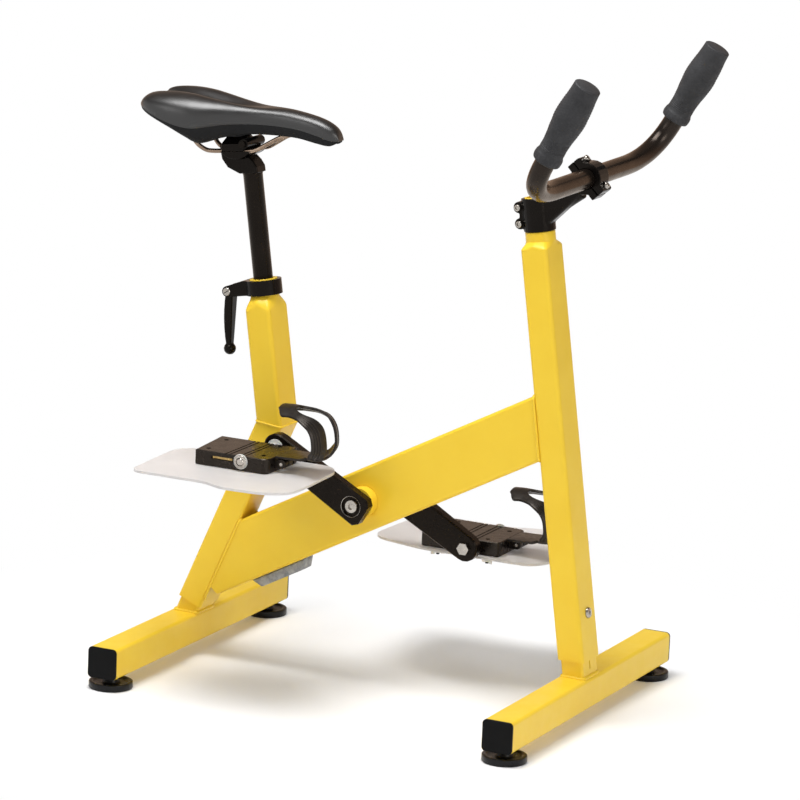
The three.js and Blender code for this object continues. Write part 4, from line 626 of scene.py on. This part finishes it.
def smooth_line(points, count):
    """Points evenly spaced along a smooth curve through the given ones."""
    points = [2 * points[0] - points[1], *points, 2 * points[-1] - points[-2]]
    steps = 12
    fine = []
    for a, b, c, d in zip(points, points[1:], points[2:], points[3:]):
        ta, tb, tc = (max(touching**1.5, (q - p).length) ** 0.5 for p, q in ((a, b), (b, c), (c, d)))
        m = (b - a) / ta - (c - a) / (ta + tb) + (c - b) / tb
        n = (c - b) / tb - (d - b) / (tb + tc) + (d - c) / tc
        fine += [hermite(b, m * tb, c, n * tb, step / steps) for step in range(steps)]
    fine.append(points[-2])
    reach = [0.0]
    for p, q in zip(fine, fine[1:]):
        reach.append(reach[-1] + (q - p).length)
    laid = []
    for step in range(count + 1):
        goal = reach[-1] * step / count
        index = max(i for i in range(len(reach) - 1) if reach[i] <= goal + touching**2)
        share = (goal - reach[index]) / (reach[index + 1] - reach[index])
        laid.append(fine[index].lerp(fine[index + 1], share))
    return laid


def ease(value, low, high):
    """0 below the low value, 1 above the high one, and a smooth rise between."""
    way = min(1.0, max(0.0, (value - low) / (high - low)))
    return way * way * (3 - 2 * way)


foot_half, loop_half, tongue_half, tip_half = 0.028, 0.043, 0.03, 0.015
foot_end, tongue_from, tip_from, window_low, window_high = 0.14, 0.52, 0.86, 0.13, 0.8


def cage_half_width(way):
    """Half the sheet's width, from its foot over the broad loop and the tongue to the round tip."""
    return (foot_half + (loop_half - foot_half) * ease(way, 0, foot_end)
            - (loop_half - tongue_half) * ease(way, tongue_from, tip_from)
            - (tongue_half - tip_half) * ease(way, tip_from, 1) ** 3)


def cage_sheet(rows, arm_columns=6):
    """The bent sheet of a toe cage with its window, before it is given its thickness."""
    line = smooth_line(cage_line, rows)
    shape = bmesh.new()
    grid = []
    for row, point in enumerate(line):
        way = row / rows
        heading = (line[min(rows, row + 1)] - line[max(0, row - 1)]).normalized()
        outward = Vector((heading.z, 0, -heading.x))
        half = cage_half_width(way)
        through = (way - window_low) / (window_high - window_low)
        opening = max(0.0, 1 - abs(2 * through - 1) ** 6) ** 0.5 if 0 <= through <= 1 else 0.0
        arm = 0.026 - 0.012 * ease(way, 0.42, 0.7)
        window = max(half * 0.2, (half - arm) * (0.35 + 0.65 * opening))
        bulge = 0.014 * (0.25 + 0.75 * ease(way, 0, foot_end))
        droop = 0.004 * ease(way, 0.62, 1)
        arm_ys = [half - (half - window) * k / arm_columns for k in range(arm_columns + 1)]
        window_ys = [window - 2 * window * k / arm_columns for k in range(1, arm_columns)]
        knots = []
        for y in arm_ys + window_ys + [-y for y in arm_ys[::-1]]:
            off = bulge * (1 - (y / loop_half) ** 2) - droop * (y / 0.024) ** 2
            knots.append(shape.verts.new(point + outward * off + Vector((0, y, 0))))
        grid.append(knots)
    for row, (low, high) in enumerate(zip(grid, grid[1:])):
        beside_window = window_low < (row + 0.5) / rows < window_high
        for k in range(len(low) - 1):
            if not (beside_window and arm_columns <= k < 2 * arm_columns):
                shape.faces.new((low[k], low[k + 1], high[k + 1], high[k]))
    return shape, grid


def pushed_out(outline, half):
    """A bar of a given half width with an outline of its own in the XZ plane."""
    shape = bmesh.new()
    shape.faces.new([shape.verts.new((x, -half, z)) for x, z in outline])
    pulled = bmesh.ops.extrude_face_region(shape, geom=shape.faces[:])["geom"]
    moved = [v for v in pulled if isinstance(v, bmesh.types.BMVert)]
    bmesh.ops.translate(shape, vec=(0, 2 * half, 0), verts=moved)
    return faced_out(shape)


def pointed(way):
    """A rib's swell, drawn to a point at both ends."""
    return min(1.0, 6 * way + 0.1, 6 * (1 - way) + 0.1)


cage_foot_line = [
    (0.0465, 0.0066), (0.088, 0.0078), (0.0985, 0.0116), (0.0975, 0.0158), (0.086, 0.0114),
    (0.0465, 0.0106)]
knuckle_profile = [
    (0.0028, -0.006), (0.0062, -0.006), (0.0067, -0.0055), (0.0067, 0.0055), (0.0062, 0.006),
    (0.0028, 0.006), (0.0028, -0.006)]
knuckle_at = Matrix.Translation((0.056, 0.007, -0.001)) @ Matrix.Rotation(quarter, 4, "X")
neck_low, neck_high = (0.0528, 0.0012, 0.002), (0.0592, 0.0128, 0.0086)
rib_rows, rib_columns, rib_radius, rib_lift = range(6, 36), (1, 2, 3, 15, 16, 17), 0.0009, 0.0002
for side, place in PEDALS.items():
    at, body = place @ Matrix.Translation((0, cage_middle, 0)), side + "_toe_cage"
    shape, grid = cage_sheet(rows=56)
    ribs = []
    for column in rib_columns:
        places = [grid[row][column].co.copy() for row in (*rib_rows, rib_rows.stop)]
        ways = [(q - p).normalized() for p, q in zip(places, places[1:])]
        ribs.append([p + Vector((way.z, 0, -way.x)) * rib_lift for p, way in zip(places, ways)])
    loop = fitted(placed(faced_out(shape), at), body + "_loop", cage_black, body, [body], 80)
    wall = loop.modifiers.new("wall", "SOLIDIFY")
    wall.thickness = 0.0044
    wall.offset = -1 if loop.data.polygons[0].normal.x > 0 else 1
    wall.use_even_offset = True
    softened = loop.modifiers.new("softened", "BEVEL")
    softened.width = 0.0011
    softened.segments = 3
    softened.limit_method = "ANGLE"
    softened.angle_limit = math.radians(50)
    for number, rib in enumerate(ribs):
        shape = swept(rib, rib_radius, swell=pointed, sides=3)
        fitted(placed(shape, at), f"{side}_cage_rib_{number}", cage_black, body)
    foot = eased(pushed_out(cage_foot_line, half=0.027), reach=0.0011, steps=3)
    knuckle = turned(knuckle_profile, knuckle_at, steps=32)
    neck = brick(neck_low, neck_high, reach=0.0006)
    for word, shape in (("foot", foot), ("knuckle", knuckle), ("neck", neck)):
        fitted(placed(shape, at), f"{side}_cage_{word}", cage_black, body)


# Seat clamp: a black collar round the seat tube's neck with a fork at the back. A cam lever turns on a
# slotted steel pin in the fork and hangs down beside the tube, ending in a ball.

# The black is the casting's own. Its faint brown and the warm Specular_Tint are a painted warm reflection:
# the brown sheen of warm surroundings.
black_cast = finish(
    "black_cast", (14, 12, 11), (8, 7, 7), gloss=(0.14, 0.24), patch=30.0, grain=1300.0, depth=0.000008,
    scratches=0.06, Specular_Tint=(1.0, 0.86, 0.74, 1.0), Specular_IOR_Level=0.13)


def cast(shape, name, body, nodes, grain_size, passes):
    """A cast or forged piece: its corners and inner angles run together in small even rounds."""
    made = fitted(shape, name, black_cast, body, nodes, crease=180)
    skin = made.modifiers.new("skin", "REMESH")
    skin.mode = "VOXEL"
    skin.voxel_size = grain_size
    skin.use_smooth_shade = True
    rounds = made.modifiers.new("rounds", "SMOOTH")
    rounds.factor = 0.5
    rounds.iterations = passes


dressed("seat_clamp_collar", black_cast, reach=0.0009)
pin_x, pin_z, arm_x = -0.27568, 0.57762, -0.2745
bow_top, bow_end, bow = 0.5776, 0.86, 0.0042
lever = copied("seat_clamp_lever")
bmesh.ops.subdivide_edges(lever, edges=lever.edges, cuts=6, use_grid_fill=True)
lever_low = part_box("seat_clamp_lever")[0].z
for v in lever.verts:
    drop = (bow_top - v.co.z) / (bow_top - lever_low)
    if 0 < drop < bow_end and v.co.x < arm_x:
        v.co.x -= bow * math.sin(math.pi * drop / bow_end) ** 0.7
cast(lever, "clamp_lever_arm", "clamp_lever", ["seat_clamp_lever"], grain_size=0.0007, passes=5)
pin_head = [(0, 0.0171), (0.0056, 0.0171), (0.006, 0.0175), (0.006, 0.0182), (0.0055, 0.0187), (0, 0.0187)]
pin_at = Matrix.Translation((pin_x, 0, pin_z)) @ Matrix.Rotation(quarter, 4, "X")
for side, turn in (("right", pin_at), ("left", pin_at @ Matrix.Rotation(math.pi, 4, "X"))):
    fitted(turned(pin_head, turn, steps=40), f"clamp_pin_head_{side}", bright_steel, "frame")
    # A thin black strip laid on each pin head stands for its slot. The black is painted shade, for the slot
    # is only a cut in the steel.
    slot_shade = brick((-0.0048, -0.0006, 0.01865), (0.0048, 0.0006, 0.0189), reach=0.0001)
    slot_shade = placed(slot_shade, turn @ Matrix.Rotation(0.6, 4, "Z"))
    fitted(slot_shade, f"clamp_pin_slot_shade_{side}", black_cast, "frame")
dressed("seat_clamp_pin", bright_steel)


# Seat post: a 30 mm black anodised tube with a forged head pressed in at its top. The head carries a
# round cradle, in which two halves of a clamp hold the saddle's rails.

seat_post_z = 0.764
seat_axis = SEAT @ leaning(0, along(seat_post_z), 0)
seat_profile = [
    (0, -0.3318), (0.0142, -0.3318), (0.015, -0.331), (0.015, -0.0036), (0.0151, -0.0034),
    (0.0153, -0.0028), (0.0153, -0.0012), (0.0151, -0.0006), (0.015, -0.0004), (0.015, 0), (0, 0)]
tube = turned(seat_profile, seat_axis, steps=72)
fitted(tube, "seat_post_tube", black_anodised, "seat_post", ["seat_post"])
head = copied("seat_post")
bmesh.ops.bisect_plane(head, geom=head.verts[:] + head.edges[:] + head.faces[:], dist=touching,
                       plane_co=seat_axis @ Vector((0, 0, -0.002)), plane_no=seat_axis.to_3x3() @ up,
                       clear_inner=True)
bmesh.ops.holes_fill(head, edges=head.edges, sides=60)
cast(faced_out(head), "seat_post_head", "seat_post", (), grain_size=0.0009, passes=6)
for part in ("lower_rail_clamp", "upper_rail_clamp"):
    cast(copied(part), part + "_casting", "saddle_clamp", [part], grain_size=0.0008, passes=5)
dressed("rail_clamp_bolt", black_anodised, reach=0.0003)


# Saddle rails: two bent rods of bronze-coloured chrome steel, 7 mm thick. They run level through the
# clamp, spread to the wings at the back and draw together under the nose.

rail_bronze = finish(
    "rail_bronze", (170, 150, 132), (120, 100, 84), gloss=(0.2, 0.34), patch=30.0, scratches=0.1,
    Metallic=1.0)
saddle_length, saddle_half, rail_drop, rail_radius = 0.319, 0.07, 0.022, 0.0035
TILT = leaning(-0.26689, 0.819, math.radians(-5.9))
rail_shares = [
    (-0.245, 0.5, 0.6), (-0.232, 0.485, 0.47), (-0.217, 0.46, 0.33), (-0.192, 0.4, 0.14),
    (-0.158, 0.33, 0.02), (-0.125, 0.3143, 0.0), (-0.09, 0.3143, 0.0), (0.055, 0.3143, 0.0),
    (0.078, 0.3143, 0.0), (0.102, 0.31, 0.02), (0.225, 0.22, 0.28), (0.272, 0.185, 0.33),
    (0.32, 0.15, 0.38)]


def rail_point(share, hand):
    """A point of a rail, from its shares of the saddle's length and half width."""
    x, y, z = share
    return TILT @ Vector((x * saddle_length, hand * y * saddle_half, z * saddle_half - rail_drop))


for side, hand in both_sides:
    line = smooth_line([rail_point(share, hand) for share in rail_shares], count=90)
    fitted(swept(line, rail_radius, sides=6), f"{side}_rail_rod", rail_bronze, "saddle",
           [f"{side}_saddle_rail"])


# Saddle: a stiff nylon shell under a foam pad with a smooth black vinyl skin drawn over it. The pad is
# split at the tail, hollow along its middle and creased where the skin meets the dull skirt.

saddle_shares = [
    (0.0, 0.66, 0.82, 0.7, 0.62), (0.03, 0.83, 0.95, 0.64, 0.56), (0.08, 0.94, 1.02, 0.55, 0.47),
    (0.17, 1.0, 1.06, 0.42, 0.31), (0.26, 0.97, 1.05, 0.33, 0.12), (0.33, 0.88, 1.01, 0.33, -0.01),
    (0.44, 0.64, 0.95, 0.43, 0.15), (0.56, 0.44, 0.9, 0.48, 0.25), (0.68, 0.34, 0.86, 0.49, 0.28),
    (0.8, 0.3, 0.8, 0.46, 0.27), (0.9, 0.275, 0.71, 0.37, 0.2), (0.965, 0.225, 0.58, 0.29, 0.17),
    (1.0, 0.12, 0.42, 0.29, 0.24)]
nose_x, saddle_z = -0.09996, 0.808
notch_depth, notch_half, notch_end = 0.034, 0.03, 0.25
hollow_depth, hollow_half, end_round, skin_gap = 0.014, 0.019, 0.016, 0.0003


def saddle_at(way):
    """Half width and the heights of crown, crease and edge, at a share of the way from tail to nose."""
    rows = saddle_shares
    index = max(i for i in range(len(rows) - 1) if rows[i][0] <= way + touching**2)
    a, b = rows[max(0, index - 1)], rows[index]
    c, d = rows[index + 1], rows[min(len(rows) - 1, index + 2)]
    gap = c[0] - b[0]
    found = []
    for k in range(1, 5):
        m = (c[k] - a[k]) / (c[0] - a[0]) * gap
        n = (d[k] - b[k]) / (d[0] - b[0]) * gap
        found.append(saddle_half * hermite(b[k], m, c[k], n, (way - b[0]) / gap))
    width, crown, crease, edge = found
    return width, saddle_z + crown, saddle_z + crease, saddle_z + edge


def saddle_point(way, y, z):
    """A point of the saddle, drawn forward at the tail where the notch is."""
    notch = notch_depth * max(0.0, 1 - (y / notch_half) ** 2) * (1 - ease(way, 0, notch_end))
    return Vector((nose_x - saddle_length * (1 - way) + notch, y, z))


def saddle_ways(rows):
    """Shares of the way from tail to nose, closer together at both ends."""
    return [(1 - math.cos(math.pi * row / rows)) / 2 for row in range(rows + 1)]


def closed_up(shape):
    """Fills a shape's open rims and turns its faces outwards."""
    bmesh.ops.holes_fill(shape, edges=[e for e in shape.edges if e.is_boundary], sides=0)
    bmesh.ops.triangulate(shape, faces=[f for f in shape.faces if len(f.verts) > 4])
    return faced_out(shape)


def saddle_skin(rows, steps):
    """The stretched skin, over the crown and just round the crease on both sides."""
    shape = bmesh.new()
    grid = []
    for way in saddle_ways(rows):
        half, crown, crease, _ = saddle_at(way)
        rise = (crown - crease) * (1 - max(0.0, 1 - min(way, 1 - way) / end_round) ** 2.4) ** 0.5
        depth = min(hollow_depth * (1 - ease(way, 1 / 3, 3 / 4)), rise / 2)
        line = []
        for step in range(steps + 1):
            angle = math.pi * step / steps
            y = half * math.cos(angle)
            swell = math.sin(angle) ** 0.5 if 0 < step < steps else 0.0
            hollow = depth * math.exp(-((y / hollow_half) ** 2))
            line.append(shape.verts.new(saddle_point(way, y, crease + (rise - hollow) * swell)))
        grid.append(line)
    for low, high in zip(grid, grid[1:]):
        for k in range(steps):
            shape.faces.new((low[k], low[k + 1], high[k + 1], high[k]))
    rim = [e for e in shape.edges if e.is_boundary]
    under = bmesh.ops.extrude_edge_only(shape, edges=rim)["geom"]
    for v in [g for g in under if isinstance(g, bmesh.types.BMVert)]:
        v.co.y *= 0.965
        v.co.z -= 2 * skin_gap
    return closed_up(shape)


vinyl = finish(
    "saddle_vinyl", (21, 18, 17), (14, 13, 13), gloss=(0.32, 0.4), patch=18.0, depth=0.00004,
    Specular_IOR_Level=0.8)
skirt_nylon = finish(
    "skirt_nylon", (20, 20, 21), (15, 15, 16), gloss=(0.5, 0.62), patch=22.0, grain=1300.0, depth=0.00006,
    Specular_IOR_Level=0.2)
skin = saddle_skin(rows=72, steps=44)
cover = fitted(skin, "saddle_skin", vinyl, "saddle", ["saddle_cover"], crease=75)


def saddle_shell(rows):
    """The nylon shell under the pad: a skirt that falls from the crease and an arched underside."""
    nose_tuck, shell_rise = 0.007, 0.007
    loops = []
    for way in saddle_ways(rows):
        half, _, crease, edge = saddle_at(way)
        top = crease - skin_gap
        drop = top - edge
        arch = min(edge + shell_rise, (edge + 2 * top) / 3)
        right = [(1.0, top), (0.996, top - drop * 0.1), (0.985, top - drop / 2), (0.955, edge + drop / 4),
                 (0.917, edge + drop / 8), (0.885, edge + drop * 0.03), (0.857, edge),
                 (0.8, edge + (arch - edge) * 0.4), (0.5, arch), (0.25, arch)]
        left = [(-share, z) for share, z in right[::-1]]
        over = [(share, top) for share in (-0.75, -0.5, -0.25, 0, 0.25, 0.5, 0.75)]
        shares = right + [(0.0, arch)] + left + over
        loops.append([saddle_point(way - nose_tuck * way**8, share * half, z) for share, z in shares])
    return closed_up(bridged(loops))


shell = saddle_shell(rows=60)
fitted(shell, "saddle_shell", skirt_nylon, "saddle", ["saddle_base"], crease=50)
lug_low, lug_high = Vector((-0.007, -0.006, -0.0041)), Vector((0.007, 0.006, 0.003))
for side, hand in both_sides:
    for end, share in (("tail", rail_shares[0]), ("nose", rail_shares[-1])):
        at = rail_point(share, hand)
        lug = brick(at + lug_low, at + lug_high, reach=0.0012)
        fitted(lug, f"{side}_{end}_lug", skirt_nylon, "saddle")


# Stem: a forged black clamp round the post's neck, with a pinch slot and two socket screws behind, and
# an arm to a split clamp that holds the handlebar under a faceplate with two more screws.

stem_z, arm_drop, arm_tilt = 0.75569, 0.009, math.radians(43) - lean
pinch_back, pinch_side, pinch_half, cap_face, cap_half = 0.025, 0.0153, 0.0122, 0.1183, 0.0245
STEM = POST @ leaning(0, along(stem_z), 0)
ARM = STEM @ leaning(0, -arm_drop, -arm_tilt)
cast(copied("stem_faceplate"), "stem_cap", "stem", ["stem_faceplate"], grain_size=0.0008, passes=4)
forging = copied("stem_body")
belly_line = [ARM @ Vector((0.018 + 0.0092 * step, 0, -0.001 - 0.0007 * step)) for step in range(8)]
belly = swept(belly_line, 0.0135, swell=lambda way: 1 - 0.08 * math.sin(math.pi * way), sides=10)
forging.from_mesh(meshed(belly, "belly"))
cast(forging, "stem_forging", "stem", ["stem_body"], grain_size=0.001, passes=6)
stem_screw = {"radius": 0.005, "height": 0.005, "key": 0.0029, "dip": 0.003, "shank": 0.003, "dome": 0.0006}
for name, hand in (("upper", 1), ("lower", -1)):
    at = STEM @ Matrix.Translation((-pinch_back, -pinch_side, hand * pinch_half))
    shape = socket_head(at @ Matrix.Rotation(quarter, 4, "X"), foot=-0.03, **stem_screw)
    fitted(shape, f"{name}_pinch_screw", bright_steel, "stem", [f"{name}_pinch_bolt"])
for name, hand in (("upper", 1), ("lower", -1)):
    shape = socket_head(ARM @ leaning(cap_face, hand * cap_half, quarter), foot=-0.016, **stem_screw)
    fitted(shape, f"{name}_cap_screw", bright_steel, "stem", [f"{name}_faceplate_bolt"])


# Handlebar: one 30 mm tube in dark bronze-black, level at the middle and bent up and forward at both
# ends into the grips.

# The warm Specular_Tint is a painted warm reflection: the brown sheen of warm surroundings on the bar.
bar_black = finish(
    "bar_bronze_black", (46, 38, 33), (32, 27, 24), gloss=(0.2, 0.32), patch=16.0, grain=1300.0,
    scratches=0.04, Metallic=0.6, Specular_Tint=(1.0, 0.86, 0.74, 1.0))
arm_length, bar_radius, corner_y, bend_from, bend_to = 0.106, 0.015, 0.233, 0.128, 0.066
grip_tilt, grip_splay = math.radians(28.2), math.radians(2.6)
bar_centre = ARM @ Vector((arm_length, 0, 0))


def grip_way(hand):
    """The direction in which one end of the bar runs through its grip."""
    flat = math.cos(grip_splay)
    return Vector((math.sin(grip_tilt) * flat, hand * math.sin(grip_splay), math.cos(grip_tilt) * flat))


def bar_half(hand):
    """Points from the middle of the bar out to one tip."""
    bend_steps = 28
    corner = Vector((0, hand * corner_y, 0))
    inner, outer = Vector((0, hand * bend_from, 0)), corner + grip_way(hand) * bend_to
    line = [inner * (step / 4) for step in range(4)]
    for step in range(bend_steps + 1):
        s = step / bend_steps
        line.append((1 - s) ** 2 * inner + 2 * s * (1 - s) * corner + s**2 * outer)
    return line + [corner + grip_way(hand) * reach for reach in (0.1, 0.15, 0.19)]


bar_line = [bar_centre + p for p in bar_half(1)[:0:-1] + bar_half(-1)]
fitted(swept(bar_line, bar_radius, sides=12), "handlebar_tube", bar_black, "handlebar",
       ["handlebar"], crease=60)


# Grips: soft black rubber sleeves, waisted above a thick lower collar, swollen in the palm and ending in
# a rounded cap. Fine rings run round the collar and a close raised pattern covers the palm.

grip_rubber = finish(
    "grip_rubber", (50, 50, 52), (38, 38, 40), gloss=(0.55, 0.72), patch=50.0, grain=900.0, depth=0.00012,
    Specular_IOR_Level=0.35)
grip_length, grip_radius, grip_start, grip_bore = 0.13, 0.021, 0.0679, 0.0153
grip_shares = [
    (0.0, 0.95), (0.02, 1.0), (0.09, 1.0), (0.12, 0.93), (0.25, 0.91), (0.42, 1.05), (0.58, 1.14),
    (0.74, 1.08), (0.9, 0.98), (1.0, 0.95)]


def grip(hand):
    """The sleeve's turned form, with its rings and palm pattern pressed out of the surface."""
    shares = [Vector((wide * grip_radius, 0, way * grip_length)) for way, wide in grip_shares]
    points = [(0, 0.1), (grip_bore, 0.1), (grip_bore, 0.0005), (0.019, 0.0)]
    points += [(p.x, p.z) for p in smooth_line(shares, 150)[1:-2]]
    points += [(0.0188, 0.1293), (0.017, grip_length), (0.0, grip_length)]
    shape = turned(points, steps=96)
    for v in shape.verts:
        radius = math.hypot(v.co.x, v.co.y)
        if radius < 0.0175 or v.co.z > 0.1285:
            continue
        way = v.co.z / grip_length
        angle = math.atan2(v.co.y, v.co.x)
        rings = 0.0004 * math.sin(way * 330) * ease(way, 0.13, 0.16) * (1 - ease(way, 0.3, 0.34))
        palm = ease(way, 0.36, 0.42) * (1 - ease(way, 0.82, 0.88))
        dots = 0.00045 * palm * max(0.0, math.sin(angle * 14 + way * 6) * math.sin(way * 190 - angle * 3))
        swirl = 0.0007 * palm * (1 - abs(math.sin(angle * 1.5 + way * 9)) ** 0.35)
        collar = 0.0003 * math.sin(angle * 20) * ease(way, 0.02, 0.04) * (1 - ease(way, 0.07, 0.1))
        grow = 1 + (rings + dots - swirl + collar) / radius
        v.co.x *= grow
        v.co.y *= grow
    way = grip_way(hand)
    foot_at = bar_centre + Vector((0, hand * corner_y, 0)) + way * grip_start
    turn = up.rotation_difference(way).to_matrix().to_4x4()
    return placed(shape, Matrix.Translation(foot_at) @ turn)


for side, hand in both_sides:
    fitted(grip(hand), f"{side}_grip_sleeve", grip_rubber, "handlebar", [f"{side}_grip"], 60)


# Studio: a round pale floor that fades into a white room, soft lamps above, in front and at the side, and
# the camera where the photograph was taken from. In the black parts the room shows darker above and
# warmer behind.

floor_white = bpy.data.materials.new("floor_white")
floor_white.use_nodes = True
tree = floor_white.node_tree
matt = tree.nodes["Principled BSDF"]
matt.inputs["Roughness"].default_value = 0.9
matt.inputs["Specular IOR Level"].default_value = 0.1
spot = tree.nodes.new("ShaderNodeTexCoord").outputs["Object"]
haze = tree.nodes.new("ShaderNodeTexNoise")
haze.inputs["Scale"].default_value = 1.5
tree.links.new(spot, haze.inputs["Vector"])
tone = blended(tree, (0.96, 0.96, 0.965), (0.94, 0.94, 0.945), haze.outputs[0])
tree.links.new(tone, matt.inputs["Base Color"])
far = tree.nodes.new("ShaderNodeVectorMath")
far.operation = "LENGTH"
tree.links.new(spot, far.inputs[0])
fade = ramped(tree, far.outputs["Value"], (0.42, 0.85), (0.0, 1.0), "SMOOTHSTEP")
rays = tree.nodes.new("ShaderNodeLightPath").outputs
seen = reckoned(tree, "MAXIMUM", rays["Is Camera Ray"], rays["Is Glossy Ray"])
mixed = tree.nodes.new("ShaderNodeMixShader")
tree.links.new(reckoned(tree, "MULTIPLY", seen, fade), mixed.inputs[0])
tree.links.new(matt.outputs[0], mixed.inputs[1])
tree.links.new(tree.nodes.new("ShaderNodeEmission").outputs[0], mixed.inputs[2])
tree.links.new(mixed.outputs[0], tree.nodes["Material Output"].inputs["Surface"])
disc = bmesh.new()
bmesh.ops.create_circle(disc, cap_ends=True, segments=96, radius=3.2)
floor_mesh = meshed(disc, "studio_floor")
floor_mesh.materials.append(floor_white)
shown("studio_floor", floor_mesh)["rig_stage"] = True

world = bpy.data.worlds.new("studio_air")
world.use_nodes = True
bpy.context.scene.world = world
tree = world.node_tree
rays = tree.nodes.new("ShaderNodeLightPath").outputs
fill, white = 0.36, 1.0
plain = reckoned(tree, "MAXIMUM", rays["Is Camera Ray"], rays["Is Transmission Ray"])
level = ramped(tree, plain, (0.0, 1.0), (fill, white))
heading = tree.nodes.new("ShaderNodeSeparateXYZ")
tree.links.new(tree.nodes.new("ShaderNodeTexCoord").outputs["Generated"], heading.inputs[0])
shine = tree.nodes.new("ShaderNodeMix")
tree.links.new(rays["Is Glossy Ray"], shine.inputs[0])
tree.links.new(level, shine.inputs[2])
tree.links.new(ramped(tree, heading.outputs["Z"], (0.1, 0.6), (white, 0.22)), shine.inputs[3])
tree.links.new(shine.outputs[0], tree.nodes["Background"].inputs["Strength"])
behind = ramped(tree, heading.outputs["Y"], (-0.1, 0.4), (0.0, 1.0))
warm = blended(tree, (1, 1, 1), (0.74, 0.54, 0.41), reckoned(tree, "MULTIPLY", rays["Is Glossy Ray"], behind))
tree.links.new(warm, tree.nodes["Background"].inputs["Color"])


def lamp(name, at, towards, size, power, colour=(1, 1, 1)):
    """A soft rectangular lamp that faces a point of the bike."""
    light = bpy.data.lights.new(name, "AREA")
    light.shape = "RECTANGLE"
    light.size, light.size_y = size
    light.energy = power
    light.color = colour
    made = shown(name, light)
    made.location = at
    made.rotation_mode = "QUATERNION"
    made.rotation_quaternion = (Vector(towards) - Vector(at)).to_track_quat("-Z", "Y")


lamp("top_softbox", at=(-0.3, -0.5, 3.2), towards=(0, 0, 0.4), size=(1.7, 1.5), power=94)
lamp("front_softbox", at=(3.6, -1.6, 1.9), towards=(0, 0, 0.5), size=(1.3, 1.6), power=44,
     colour=(1.0, 0.98, 0.95))
lamp("side_softbox", at=(-1.9, -3.6, 2.6), towards=(0, 0, 0.6), size=(1.7, 1.5), power=22)

camera_at, yaw, pitch, roll = (2.95654, -6.2022, 1.9885), 2.013486, -0.221207, 0.0436585
focal_pixels, picture_pixels, film_width = 4664.53, 800, 36
ahead = Vector((math.cos(pitch) * math.cos(yaw), math.cos(pitch) * math.sin(yaw), math.sin(pitch)))
level_right = ahead.cross(up).normalized()
level_above = level_right.cross(ahead)
right = math.cos(roll) * level_right + math.sin(roll) * level_above
above = math.cos(roll) * level_above - math.sin(roll) * level_right
lens = bpy.data.cameras.new("camera")
lens.sensor_width = film_width
lens.lens = focal_pixels / picture_pixels * film_width
lens.clip_end = 60
camera = shown("camera", lens)
camera.matrix_world = Matrix.Translation(camera_at) @ Matrix((right, above, -ahead)).transposed().to_4x4()
bpy.context.scene.camera = camera
bpy.context.scene.view_settings.view_transform = "Standard"

low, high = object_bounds()
